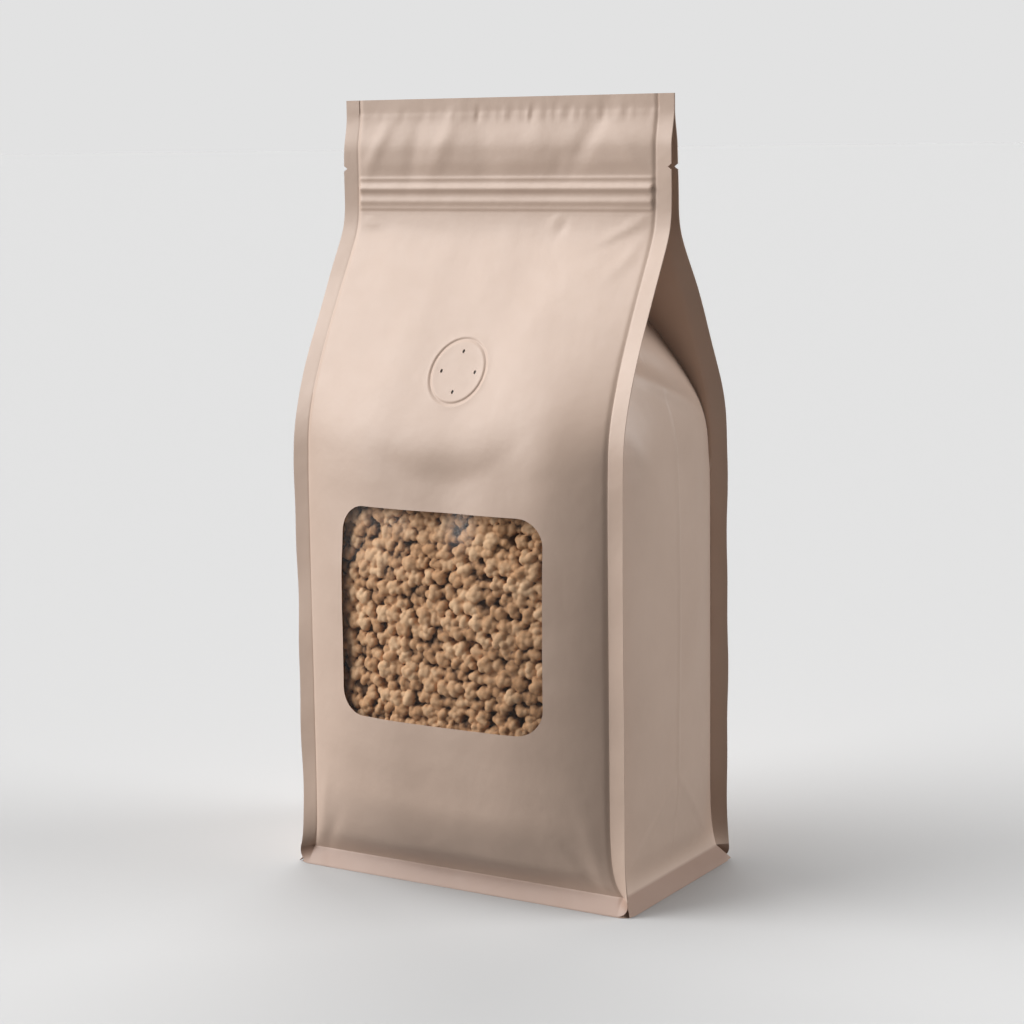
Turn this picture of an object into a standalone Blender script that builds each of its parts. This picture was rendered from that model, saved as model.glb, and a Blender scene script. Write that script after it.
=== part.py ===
"""Flat-bottom coffee bag, filled and sealed, with a window, a valve and a zipper.

Metres, +Z up.  The origin is at the middle of the base, on the surface that the
bag stands on.  The printed front faces -Y, the side gussets face -X and +X.
"""

import math

import bmesh
import bpy
import numpy as np
from mathutils import Matrix, Vector

# Size of the bag over everything.
BAG_WIDTH = 0.130
BAG_DEPTH = 0.075
BAG_HEIGHT = 0.260

# Film, and the clearance between neighbouring pieces.
FILM = 0.0003
WINDOW_FILM = 0.0002
GAP = 0.0003

# Fins: the welded strips that stand out where a gusset meets the front or back.
FIN_WIDTH = 0.0055
FIN_INSET = 0.0021
FIN_FLARE = 0.0003
FIN_SPLAY = 0.0012
SIDE_INSET = 0.0015

# Base lip: the welded rim that flares out round the foot of the bag.
LIP_HEIGHT = 0.0055
LIP_REACH = 0.0042
LIP_CORNER = 0.006
BASE_TUCK = 0.005
BASE_CORNER = 0.0012
PINCH_HEIGHT = 0.006

# Filled body, and the slope from its shoulder in to the neck under the zipper.
BELLY = 0.0125
BELLY_POWER = 2.6
GUSSET_BELLY = 0.0065
NECK_DROP = 0.0421
SLOPE_TALL = 0.0645
SHOULDER_ROUND = 0.006
NECK_ROUND = 0.003
NECK_HALF_DEPTH = 0.0022
ROW_CLEARANCE = 0.0012
WELD_STEP = 0.004
CREASE_COLUMN = 0.9

# Window in the front.
WINDOW_WIDTH = 0.077
WINDOW_TALL = 0.070
WINDOW_FOOT = 0.058
WINDOW_CORNER = 0.009
WINDOW_WELD = 0.006

# One-way valve, welded behind four pin holes in the front.
VALVE_RISE = 0.0193
VALVE_FLAT = 0.0194
VALVE_BLEND = 0.0107
VALVE_MARGIN = 0.0021
VALVE_DIAMETER = 0.0215
VALVE_RIM = 0.0008
VALVE_DEPTH = 0.0036
VALVE_WALL = 0.0012
VALVE_HUB_DIAMETER = 0.0160
VALVE_SEAT_HOLE = 0.003
VALVE_DISC = 0.0005
VALVE_COVER = 0.0008
VALVE_COVER_HOLE = 0.004
FILTER = 0.0003
EMBOSS_DIAMETER = 0.0200
EMBOSS_WIDTH = 0.0009
EMBOSS_DEPTH = 0.00012
PIN_HOLE = 0.0010
PIN_CIRCLE = 0.0126
PIN_COUNT = 4

# Press-to-close zipper; its drop is from the top of the bag to its upper edge.
ZIP_DROP = 0.0255
ZIP_TALL = 0.0120
ZIP_BASE = 0.0003
ZIP_TRACKS = (0.0035, 0.0077)
ZIP_RIB = 0.0008
ZIP_HOOK = 0.0005
FILM_RIB = 0.0006
FILM_RIB_WIDTH = 0.0012

# Top weld, and tear notches at a drop from the top of the bag.
TOP_WELD = 0.005
TOP_TAPER = 0.012
NOTCH_DROP = 0.023
NOTCH_TALL = 0.0023
NOTCH_DEPTH = 0.0012

# Contents.
FILL_RISE = 0.0046
FILL_CLEARANCE = 0.0008
FILL_CORNER = 0.004
GRANULE = 0.0052
GRANULE_SCATTER = 0.0008
GRANULE_RADIUS = 0.0032
GRANULE_STEP = 0.0017
GRANULE_RELIEF = 0.003
BED_RECESS = 0.0034
BED_RIM = 0.005
SEED = 7

# Values that follow from the ones above.
HALF_WIDTH = BAG_WIDTH / 2
HALF_DEPTH = BAG_DEPTH / 2
EDGE_X = HALF_WIDTH - FIN_INSET
SEAM_X = EDGE_X - FIN_WIDTH
SIDE_Y = HALF_DEPTH - SIDE_INSET
NECK_HEIGHT = BAG_HEIGHT - NECK_DROP
SHOULDER_HEIGHT = NECK_HEIGHT - SLOPE_TALL
VALVE_HEIGHT = SHOULDER_HEIGHT + VALVE_RISE
FILL_HEIGHT = SHOULDER_HEIGHT + FILL_RISE
NOTCH_HEIGHT = BAG_HEIGHT - NOTCH_DROP
ZIP_TOP = BAG_HEIGHT - ZIP_DROP
ZIP_FOOT = ZIP_TOP - ZIP_TALL
LIP_STACK = 1.5 * (2 * FILM + GAP)
LEAN = (SIDE_Y - NECK_HALF_DEPTH) / (NECK_HEIGHT - SHOULDER_HEIGHT)
WELD_HALF_DEPTH = 2 * FILM + 1.5 * GAP
WELD_FOOT = BAG_HEIGHT - TOP_WELD
FIN_OFFSET = 2 * FILM + GAP
FOLD_X = SEAM_X - SIDE_Y + NECK_HALF_DEPTH
WINDOW_TOP = WINDOW_FOOT + WINDOW_TALL
BEHIND_WINDOW = FILM + GAP + WINDOW_FILM + FILL_CLEARANCE
MATCH = 1e-6

# Belly of the front and back against height: shares of the way from the base seam
# to the neck, and shares of BELLY.
BELLY_CURVE = ((0, 0), (0.04, 0.42), (0.12, 0.85), (0.26, 1), (0.45, 0.96),
               (0.58, 0.76), (0.79, 0.42), (0.92, 0.18), (1.0, 0.05), (1.08, 0))
GUSSET_CURVE = ((0, 0), (0.05, 0.5), (0.15, 0.9), (0.35, 1), (0.65, 1), (0.76, 0.8),
                (0.88, 0.2), (1.0, 0))

# Heights at which every panel has points: its curved stretches, and the top.
BASE_SHARES = np.array([0, 0.5, 1.2, 2.4, 4.5])
PROFILE_HEIGHTS = np.sort(np.concatenate([
    LIP_HEIGHT + PINCH_HEIGHT * BASE_SHARES,
    SHOULDER_HEIGHT + SHOULDER_ROUND * np.array([-4, -2, -0.7, 0.7, 2, 4]),
    NECK_HEIGHT + NECK_ROUND * np.array([-3, -1, 1, 3]),
    [WELD_FOOT - TOP_TAPER, WELD_FOOT, BAG_HEIGHT]]))

FILM_COLOUR = (0.56, 0.42, 0.35, 1)


def clear_scene():
    for item in list(bpy.data.objects):
        bpy.data.objects.remove(item)


def make_material(name, colour, roughness, metallic=0.0, transmission=0.0):
    material = bpy.data.materials.new(name)
    material.use_nodes = True
    shader = material.node_tree.nodes["Principled BSDF"]
    shader.inputs["Base Color"].default_value = colour
    shader.inputs["Roughness"].default_value = roughness
    shader.inputs["Metallic"].default_value = metallic
    shader.inputs["Transmission Weight"].default_value = transmission
    return material


def add_object(name, mesh, material):
    item = bpy.data.objects.new(name, mesh)
    bpy.context.collection.objects.link(item)
    if material is not None:
        mesh.materials.append(material)
    return item


def make_cutter(name, mesh):
    """A tool body that other pieces are cut or joined with; it is not a part."""
    cutter = add_object(name, mesh, None)
    cutter.hide_render = True
    cutter.display_type = "WIRE"
    return cutter


def use_boolean(item, tool, operation="DIFFERENCE"):
    change = item.modifiers.new(tool.name, "BOOLEAN")
    change.operation = operation
    change.object = tool
    change.solver = "EXACT"


def smooth_curve(points, at):
    """Monotone cubic through the points, held level beyond both ends."""
    x, y = np.array(points, float).T
    step = np.diff(x)
    slope = np.diff(y) / step
    tangent = np.zeros_like(y)
    rising = slope[:-1] * slope[1:] > 0
    mean = 2 * slope[:-1] * slope[1:] / np.where(rising, slope[:-1] + slope[1:], 1)
    tangent[1:-1] = np.where(rising, mean, 0)
    at = np.clip(at, x[0], x[-1])
    i = np.clip(np.searchsorted(x, at) - 1, 0, len(step) - 1)
    t = (at - x[i]) / step[i]
    return ((1 + 2 * t) * (1 - t) ** 2 * y[i] + t * (1 - t) ** 2 * step[i] * tangent[i]
            + t ** 2 * (3 - 2 * t) * y[i + 1] + t ** 2 * (t - 1) * step[i] * tangent[i + 1])


def soft_ramp(height, start, rounding):
    """Zero below start, then rising one for one, with a rounded corner."""
    return rounding * np.logaddexp(0, (height - start) / rounding)


def lean_in(z):
    """How far the side seams have moved in from their place on the full body.

    It runs straight between the profile heights, so that the four walls, which all
    have points there, stay parallel wherever else they have points.
    """
    smooth = LEAN * (soft_ramp(PROFILE_HEIGHTS, SHOULDER_HEIGHT, SHOULDER_ROUND)
                     - soft_ramp(PROFILE_HEIGHTS, NECK_HEIGHT, NECK_ROUND))
    return np.interp(z, PROFILE_HEIGHTS, smooth)


def top_press(z):
    """None below the taper to the top weld, and one from the weld up."""
    return np.clip((z - WELD_FOOT + TOP_TAPER) / TOP_TAPER, 0, 1)


def base_pinch(z):
    """One at the base seam, fading to none a little above it."""
    smooth = np.exp((LIP_HEIGHT - PROFILE_HEIGHTS) / PINCH_HEIGHT)
    return np.interp(z, PROFILE_HEIGHTS, smooth)


def seam_place(z):
    """x and |y| of the front film's outer face at the side seam."""
    pinch = base_pinch(z)
    x = SEAM_X + (HALF_WIDTH - LIP_REACH - SEAM_X) * pinch
    y = SIDE_Y - lean_in(z) - (LIP_REACH - SIDE_INSET) * pinch
    return x, y + (WELD_HALF_DEPTH - NECK_HALF_DEPTH) * top_press(z)


def edge_place(z):
    """x and |y| of the front film's outer face at the fin's free edge."""
    pinch = base_pinch(z)
    x = EDGE_X + FIN_SPLAY * pinch
    y = SIDE_Y - lean_in(z) + FIN_SPLAY / 2 * pinch + FIN_FLARE * (1 - top_press(z))
    return x, y + (WELD_HALF_DEPTH - NECK_HALF_DEPTH) * top_press(z)


def body_share(z):
    return (z - LIP_HEIGHT) / (NECK_HEIGHT - LIP_HEIGHT)


def panel_depth(x, z):
    """|y| of the front or back film's outer face between the side seams.

    In the top weld the film steps in where the folded gussets end.
    """
    seam_x, seam_y = seam_place(z)
    across = np.clip(np.abs(x) / seam_x, 0, 1)
    belly = BELLY * smooth_curve(BELLY_CURVE, body_share(z))
    between_folds = np.clip((FOLD_X - np.abs(x)) / WELD_STEP, 0, 1)
    step = (FILM + GAP) * top_press(z) * between_folds
    return seam_y + belly * (1 - across ** BELLY_POWER) - step


def zipper_relief(x, z):
    """Ridges that the two zipper tracks press into the film."""
    seam_x, _ = seam_place(z)
    inside = np.clip((seam_x - np.abs(x)) / (2 * FILM_RIB_WIDTH), 0, 1)
    ridge = sum(np.exp(-((z - ZIP_FOOT - track) / FILM_RIB_WIDTH) ** 2)
                for track in ZIP_TRACKS)
    return FILM_RIB * ridge * inside


def valve_frame():
    """Middle of the valve on the film's outer face, and the slope there."""
    rise = 0.01
    low, high = panel_depth(np.zeros(2), np.array([VALVE_HEIGHT - rise, VALVE_HEIGHT + rise]))
    slope = (low - high) / (2 * rise)
    return (low + high) / 2, slope


def flatten_for_valve(x, z, depth):
    """The film lies flat over the valve, blending into the belly round it."""
    middle, slope = valve_frame()
    plane = middle - slope * (z - VALVE_HEIGHT)
    reach = np.hypot(x, z - VALVE_HEIGHT)
    share = np.clip((VALVE_FLAT + VALVE_BLEND - reach) / VALVE_BLEND, 0, 1)
    return depth + (plane - depth) * share


def panel_points(columns, rows, front):
    """Outer face of the front (or back) film on a grid.

    A column runs from -1 to 1 between the side seams and on to 2 over a fin.  A row
    is a height above the base seam, or, from 0 down to -1, a share of the base lip.
    """
    column, row = np.meshgrid(columns, rows)
    side = np.sign(column)
    fin = np.clip(np.abs(column) - 1, 0, 1)
    lip = np.clip(-row, 0, 1)
    fin, lip = fin * np.sqrt(1 - lip ** 2 / 2), lip * np.sqrt(1 - fin ** 2 / 2)
    z = LIP_HEIGHT + np.maximum(row, 0)
    seam_x, seam_y = seam_place(z)
    edge_x, edge_y = edge_place(z)
    seam_x = seam_x + lip * (HALF_WIDTH - LIP_CORNER - seam_x)
    edge_x = edge_x + lip * (HALF_WIDTH - edge_x)
    inner = np.clip(np.abs(column), 0, 1)
    x = inner * seam_x + fin * (edge_x - seam_x)
    depth = panel_depth(x, z)
    if front:
        depth = flatten_for_valve(x, z, depth)
    depth = depth + zipper_relief(x, z)
    depth = np.where(fin > 0, seam_y + fin * (edge_y - seam_y), depth)
    depth = depth + lip * (HALF_DEPTH - depth)
    z = z - lip * (LIP_HEIGHT - LIP_STACK)
    facing = -1 if front else 1
    return np.stack([side * x, facing * depth, z], axis=-1)


def fin_normal(z):
    """Horizontal direction in x and |y| from the front film's fin to its back."""
    seam_x, seam_y = seam_place(z)
    edge_x, edge_y = edge_place(z)
    along = np.hypot(edge_x - seam_x, edge_y - seam_y)
    return (edge_y - seam_y) / along, (edge_x - seam_x) / along


def gusset_points(columns, rows):
    """Outer face of the right gusset on a grid, folded in above the shoulder.

    A column runs from -1 to 1 between the side seams and on to 2 over a fin.  Going
    in from a seam, the film first lies along the inside of the front or back for as
    far as the seams have leant in, and then crosses to the other side.  The columns
    at CREASE_COLUMN follow the crease between the two.
    """
    column, row = np.meshgrid(columns, rows)
    side = np.sign(column)
    fin = np.clip(np.abs(column) - 1, 0, 1)
    lip = np.clip(-row, 0, 1)
    z = LIP_HEIGHT + np.maximum(row, 0)
    seam_x, seam_y = seam_place(z)
    edge_x, edge_y = edge_place(z)
    normal_x, normal_y = fin_normal(z)
    seam_x = seam_x + normal_x * FIN_OFFSET
    edge_x = edge_x + normal_x * FIN_OFFSET
    seam_y = seam_y - normal_y * FIN_OFFSET
    edge_y = edge_y - normal_y * FIN_OFFSET
    folded = lean_in(z)
    half_web = folded + seam_y
    crease = np.maximum(folded, (1 - CREASE_COLUMN) * half_web)
    reach = np.clip(np.abs(column), 0, 1)
    along = np.where(reach > CREASE_COLUMN, (1 - reach) / (1 - CREASE_COLUMN) * crease,
                     half_web - reach / CREASE_COLUMN * (half_web - crease))
    ear = np.minimum(along, folded)
    y = seam_y - (along - ear)
    bulge = GUSSET_BELLY * smooth_curve(GUSSET_CURVE, body_share(z))
    x = seam_x - ear + bulge * (1 - np.abs(y / seam_y) ** BELLY_POWER)
    x = np.where(fin > 0, seam_x + fin * (edge_x - seam_x), x)
    y = np.where(fin > 0, seam_y + fin * (edge_y - seam_y), y)
    x = x + lip * (HALF_WIDTH - x)
    y = y * (1 + lip * (HALF_DEPTH - 2 * SIDE_INSET - seam_y) / seam_y)
    z = z - lip * (LIP_HEIGHT - LIP_STACK)
    return np.stack([x, side * y, z], axis=-1)


def sheet_mesh(name, points, columns, left_out=None):
    """One open sheet through a grid of points, facing out where +column turns to +row.

    Each quad is split from its low corner nearer the side seam to its high corner
    further from it, so that sheets that lie on each other bend alike.
    """
    row_count, column_count = points.shape[:2]
    index = np.arange(row_count * column_count).reshape(row_count, column_count)
    quads = np.stack([index[:-1, :-1], index[:-1, 1:], index[1:, 1:], index[1:, :-1]], axis=-1)
    kept = np.ones(quads.shape[:2], bool) if left_out is None else ~left_out
    from_seam = np.abs(np.abs(columns) - 1)
    leaving = from_seam[1:] > from_seam[:-1]
    faces = quads[kept & leaving][:, [0, 1, 2]].tolist()
    faces += quads[kept & leaving][:, [0, 2, 3]].tolist()
    faces += quads[kept & ~leaving][:, [0, 1, 3]].tolist()
    faces += quads[kept & ~leaving][:, [1, 2, 3]].tolist()
    mesh = bpy.data.meshes.new(name)
    mesh.from_pydata(points.reshape(-1, 3).tolist(), [], faces)
    build = bmesh.new()
    build.from_mesh(mesh)
    loose = [vertex for vertex in build.verts if not vertex.link_faces]
    bmesh.ops.delete(build, geom=loose, context="VERTS")
    build.to_mesh(mesh)
    build.free()
    mesh.shade_smooth()
    mesh.set_sharp_from_angle(angle=math.radians(40))
    return mesh


def add_film(name, points, columns, thickness, material, left_out=None):
    """A sheet with its thickness added on the inner side."""
    item = add_object(name, sheet_mesh(name, points, columns, left_out), material)
    wall = item.modifiers.new("film thickness", "SOLIDIFY")
    wall.thickness = thickness
    wall.offset = -1
    wall.use_even_offset = True
    return item


def box_mesh(name, low, high):
    build = bmesh.new()
    bmesh.ops.create_cube(build, size=1)
    size = Vector(high) - Vector(low)
    middle = (Vector(high) + Vector(low)) / 2
    bmesh.ops.scale(build, vec=size, verts=build.verts)
    bmesh.ops.translate(build, vec=middle, verts=build.verts)
    mesh = bpy.data.meshes.new(name)
    build.to_mesh(mesh)
    build.free()
    return mesh


def rounded_outline(half_x, half_y, radius, segments):
    """Corner points of a rounded rectangle, anticlockwise from the right-hand side."""
    points = []
    for quarter in range(4):
        turn_x = half_x - radius if quarter in (0, 3) else radius - half_x
        turn_y = half_y - radius if quarter in (0, 1) else radius - half_y
        for step in range(segments + 1):
            angle = math.pi / 2 * (quarter + step / segments)
            points.append((turn_x + radius * math.cos(angle), turn_y + radius * math.sin(angle)))
    return points


def prism_mesh(name, outline, depth):
    """An outline in the XY plane, drawn out along +Z and closed at both ends."""
    build = bmesh.new()
    face = build.faces.new([build.verts.new((x, y, 0)) for x, y in outline])
    raised = bmesh.ops.extrude_face_region(build, geom=[face])
    top = [item for item in raised["geom"] if isinstance(item, bmesh.types.BMVert)]
    bmesh.ops.translate(build, vec=(0, 0, depth), verts=top)
    bmesh.ops.recalc_face_normals(build, faces=build.faces)
    mesh = bpy.data.meshes.new(name)
    build.to_mesh(mesh)
    build.free()
    return mesh


def turned_mesh(name, profile, segments):
    """A closed profile of radius and height, turned about Z."""
    build = bmesh.new()
    points = [build.verts.new((radius, 0, height)) for radius, height in profile]
    edges = [build.edges.new(pair) for pair in zip(points, points[1:])]
    if profile[0][0] > 0:
        edges.append(build.edges.new((points[-1], points[0])))
    bmesh.ops.spin(build, geom=points + edges, cent=(0, 0, 0), axis=(0, 0, 1),
                   angle=2 * math.pi, steps=segments, use_merge=True)
    bmesh.ops.remove_doubles(build, verts=build.verts, dist=MATCH)
    bmesh.ops.recalc_face_normals(build, faces=build.faces)
    mesh = bpy.data.meshes.new(name)
    build.to_mesh(mesh)
    build.free()
    mesh.shade_smooth()
    mesh.set_sharp_from_angle(angle=math.radians(30))
    return mesh


def valve_matrix():
    """Frame of the valve: origin on the film's outer face, +Z into the bag."""
    depth, slope = valve_frame()
    inward = Vector((0, 1, -slope)).normalized()
    across = Vector((1, 0, 0))
    up = inward.cross(across)
    turn = Matrix((across, up, inward)).transposed().to_4x4()
    return Matrix.Translation((0, -depth, VALVE_HEIGHT)) @ turn


def join_heights(extra):
    """Rows of a wall: the lip, the profile heights, and extra ones clear of those."""
    heights = list(PROFILE_HEIGHTS)
    for height in extra:
        if min(abs(height - other) for other in heights) > ROW_CLEARANCE:
            heights.append(height)
    return np.array([-1, -0.5] + [height - LIP_HEIGHT for height in sorted(heights)])


def zipper_heights():
    ridges = [ZIP_FOOT + track for track in ZIP_TRACKS]
    spread = 1.5 * FILM_RIB_WIDTH
    return [ridge + step for ridge in ridges for step in (0, -spread, spread)] + [ZIP_TOP]


def front_rows():
    weld_low = WINDOW_FOOT - WINDOW_WELD
    weld_high = WINDOW_TOP + WINDOW_WELD
    span = VALVE_DIAMETER / 2 + VALVE_MARGIN
    above_valve = (VALVE_HEIGHT + span + NECK_HEIGHT) / 2
    extra = [weld_low, *np.linspace(WINDOW_FOOT, WINDOW_TOP, 5), weld_high]
    extra += [VALVE_HEIGHT - span, VALVE_HEIGHT + span, above_valve]
    return join_heights(extra + zipper_heights())


def back_rows():
    body = np.linspace(LIP_HEIGHT + PINCH_HEIGHT * BASE_SHARES[-1], SHOULDER_HEIGHT, 6)
    slope = np.linspace(SHOULDER_HEIGHT, NECK_HEIGHT, 4)
    return join_heights([*body, *slope, *zipper_heights()])


def gusset_rows():
    body = np.linspace(LIP_HEIGHT + PINCH_HEIGHT * BASE_SHARES[-1], SHOULDER_HEIGHT, 6)
    slope = np.linspace(SHOULDER_HEIGHT, NECK_HEIGHT, 7)
    return join_heights([*body, *slope, ZIP_TOP])


def mirrored(shares):
    return np.array([-share for share in reversed(shares) if share > 0] + list(shares))


def front_columns():
    """Columns of the front film; the window film shares the middle ones."""
    span = VALVE_DIAMETER / 2 + VALVE_MARGIN
    window = WINDOW_WIDTH / 2
    weld = window + WINDOW_WELD
    inner = [0, span, (span + window) / 2, window, weld, (2 * weld + 3 * SEAM_X) / 5]
    return mirrored([place / SEAM_X for place in inner] + [1, 1.5, 2])


def add_front(film, cutters):
    columns = front_columns()
    item = add_film("front_panel", panel_points(columns, front_rows(), True), columns, FILM, film)
    for cutter in cutters:
        use_boolean(item, cutter)
    return item


def add_back(film, cutters):
    columns = mirrored([0, 0.4, 0.68, 0.87, 1, 1.5, 2])
    points = panel_points(columns, back_rows(), False)[:, ::-1]
    item = add_film("back_panel", points, columns[::-1], FILM, film)
    for cutter in cutters:
        use_boolean(item, cutter)
    return item


def add_gusset(name, side, film, cutters):
    """A side gusset; its lip has no fins, because the front and back close the corners."""
    columns = mirrored([0, 0.3, 0.6, CREASE_COLUMN, 1, 1.5, 2])
    rows = gusset_rows()
    points = gusset_points(columns, rows)
    left_out = np.zeros((len(rows) - 1, len(columns) - 1), bool)
    left_out[:2, np.abs(columns[1:] + columns[:-1]) > 2] = True
    if side < 0:
        points = points[:, ::-1] * (-1, 1, 1)
        columns = columns[::-1]
    item = add_film(name, points, columns, FILM, film, left_out)
    for cutter in cutters:
        use_boolean(item, cutter)
    return item


def base_profile():
    """Inset from the outer edge, underside and upper side of the base film."""
    ridge = LIP_HEIGHT - LIP_STACK
    thick = 1.5 * FILM
    return [(0, 0, thick), (LIP_REACH / 2, ridge / 2, ridge / 2 + thick),
            (LIP_REACH, ridge, ridge + thick),
            (LIP_REACH + BASE_TUCK / 2, ridge / 3, ridge / 3 + thick),
            (LIP_REACH + BASE_TUCK, 0, FILM)]


def add_base(film):
    """Base film: flat underneath, tucked up to the base seam and folded out into the lip."""
    corner_steps = 3
    build = bmesh.new()
    under = []
    over = []
    for inset, low, high in base_profile():
        radius = max(LIP_CORNER - inset, BASE_CORNER)
        outline = rounded_outline(HALF_WIDTH - inset, HALF_DEPTH - inset, radius, corner_steps)
        under.append([build.verts.new((x, y, low)) for x, y in outline])
        over.append([build.verts.new((x, y, high)) for x, y in outline])
    count = len(under[0])
    loops = [under[-1], *reversed(under[:-1]), *over]
    for near, far in zip(loops, loops[1:]):
        for i in range(count):
            build.faces.new((near[i - 1], near[i], far[i], far[i - 1]))
    build.faces.new(under[-1])
    build.faces.new(over[-1])
    bmesh.ops.recalc_face_normals(build, faces=build.faces)
    mesh = bpy.data.meshes.new("base_panel")
    build.to_mesh(mesh)
    build.free()
    mesh.shade_smooth()
    mesh.set_sharp_from_angle(angle=math.radians(40))
    return add_object("base_panel", mesh, film)


def add_window_film(material):
    """Clear film welded behind the front, on the same columns and rows as the front."""
    columns = front_columns()
    reach = (WINDOW_WIDTH / 2 + WINDOW_WELD) / SEAM_X + MATCH
    columns = columns[np.abs(columns) <= reach]
    rows = front_rows()
    height = rows + LIP_HEIGHT
    low = WINDOW_FOOT - WINDOW_WELD - MATCH
    high = WINDOW_TOP + WINDOW_WELD + MATCH
    rows = rows[(height >= low) & (height <= high)]
    points = panel_points(columns, rows, True)
    across = np.gradient(points, axis=1)
    upward = np.gradient(points, axis=0)
    normal = np.cross(across, upward)
    normal /= np.linalg.norm(normal, axis=-1, keepdims=True)
    return add_film("window_film", points - normal * (FILM + GAP), columns, WINDOW_FILM, material)


def add_zipper(material):
    """Front strip with two ribs, and back strip with a pair of lips round each rib."""
    outer = NECK_HALF_DEPTH - FILM - GAP
    inner = outer - ZIP_BASE
    length = 2 * (SEAM_X - GAP - FILM)
    tip = inner - ZIP_HOOK
    front = [(-outer, 0), (-inner, 0)]
    back = [(outer, 0), (inner, 0)]
    for track in ZIP_TRACKS:
        rib = (track - ZIP_RIB / 2, track + ZIP_RIB / 2)
        front += [(-inner, rib[0]), (tip, rib[0]), (tip, rib[1]), (-inner, rib[1])]
        for low in (rib[0] - GAP - ZIP_RIB, rib[1] + GAP):
            back += [(inner, low), (-tip, low), (-tip, low + ZIP_RIB), (inner, low + ZIP_RIB)]
    front += [(-inner, ZIP_TALL), (-outer, ZIP_TALL)]
    back += [(inner, ZIP_TALL), (outer, ZIP_TALL)]
    place = Matrix(((0, 0, 1, -length / 2), (1, 0, 0, 0), (0, 1, 0, ZIP_FOOT), (0, 0, 0, 1)))
    for name, outline in (("zipper_front_strip", front), ("zipper_back_strip", back)):
        mesh = prism_mesh(name, outline, length)
        item = add_object(name, mesh, material)
        item.matrix_world = place


def add_valve(body_material, disc_material, filter_material):
    """Valve body, rubber disc, cover and paper filter, stacked inward from the film."""
    segments = 16
    rim_radius = VALVE_DIAMETER / 2
    hub_radius = VALVE_HUB_DIAMETER / 2
    bore = hub_radius - VALVE_WALL
    start = FILM + GAP
    back = start + VALVE_DEPTH
    seat = start + VALVE_RIM
    body = [(VALVE_SEAT_HOLE / 2, start), (rim_radius, start), (rim_radius, seat),
            (hub_radius, seat), (hub_radius, back), (bore, back), (bore, seat),
            (VALVE_SEAT_HOLE / 2, seat)]
    disc_low = seat + GAP
    disc_high = disc_low + VALVE_DISC
    disc_radius = bore - GAP
    disc = [(0, disc_low), (disc_radius, disc_low), (disc_radius, disc_high), (0, disc_high)]
    cover_low = disc_high + GAP
    cover_high = cover_low + VALVE_COVER
    cover_hole = VALVE_COVER_HOLE / 2
    cover = [(cover_hole, cover_low), (disc_radius, cover_low),
             (disc_radius, cover_high), (cover_hole, cover_high)]
    filter_low = cover_high + GAP
    filter_high = filter_low + FILTER
    paper = [(0, filter_low), (disc_radius, filter_low),
             (disc_radius, filter_high), (0, filter_high)]
    stack = (("valve_body", body, body_material), ("valve_disc", disc, disc_material),
             ("valve_cover", cover, body_material), ("valve_filter", paper, filter_material))
    for name, profile, material in stack:
        item = add_object(name, turned_mesh(name, profile, segments), material)
        item.matrix_world = valve_matrix()


def fill_outline(z):
    """Plan of the contents at one height: front, right, back and left in turn."""
    seam_x, seam_y = seam_place(z)
    folded = float(lean_in(z))
    skin = FILM + FILL_CLEARANCE
    bulge = float(GUSSET_BELLY * smooth_curve(GUSSET_CURVE, body_share(z)))
    front_shares = np.array([-1, -0.8, -0.5, -0.2, 0.2, 0.5, 0.8, 1])
    half = seam_x - folded - skin - FILL_CORNER
    x = front_shares * half
    y = panel_depth(x, z) - BEHIND_WINDOW
    side_shares = np.array([-1, -0.5, 0, 0.5, 1])
    side_y = side_shares * (seam_y - FIN_OFFSET - FILL_CORNER)
    side_x = seam_x - folded + bulge * (1 - np.abs(side_y / seam_y) ** BELLY_POWER) - skin
    front = list(zip(x, BED_RECESS - y))
    right = list(zip(side_x, side_y))
    back = list(zip(-x, y))
    left = [(-a, -b) for a, b in right]
    return front + right + back + left


def fill_levels():
    """Heights of the rings of the contents, with how far each is drawn in."""
    foot = FILM + GAP
    clear_of_tuck = LIP_HEIGHT + FILM
    levels = [(foot, LIP_REACH + BASE_TUCK), (clear_of_tuck, LIP_REACH - SIDE_INSET)]
    levels += [(LIP_HEIGHT + PINCH_HEIGHT * share, 0) for share in BASE_SHARES[2:]]
    body_foot = LIP_HEIGHT + PINCH_HEIGHT * BASE_SHARES[-1]
    levels += [(height, 0) for height in np.linspace(body_foot, FILL_HEIGHT - FILL_CORNER, 7)[1:]]
    levels += [(FILL_HEIGHT, FILL_CORNER)]
    return levels


def granule_relief(x, z):
    """Depth below the outer face of a close-packed bed of round granules."""
    random = np.random.default_rng(SEED)
    half = WINDOW_WIDTH / 2 + 2 * GRANULE
    across = np.arange(-half, half, GRANULE)
    row_step = GRANULE * math.sqrt(3) / 2
    upward = np.arange(WINDOW_FOOT - 2 * GRANULE, WINDOW_TOP + 2 * GRANULE, row_step)
    middle_x, middle_z = np.meshgrid(across, upward)
    middle_x = middle_x + GRANULE / 2 * (np.arange(len(upward))[:, None] % 2)
    middle_x = middle_x + random.uniform(-GRANULE_SCATTER, GRANULE_SCATTER, middle_x.shape)
    middle_z = middle_z + random.uniform(-GRANULE_SCATTER, GRANULE_SCATTER, middle_z.shape)
    lift = random.uniform(0.55, 1, middle_x.size)
    reach = np.hypot(x[..., None] - middle_x.ravel(), z[..., None] - middle_z.ravel())
    dome = lift * np.sqrt(np.clip(1 - (reach / GRANULE_RADIUS) ** 2, 0, 1))
    return GRANULE_RELIEF * (1 - dome.max(axis=-1))


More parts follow.
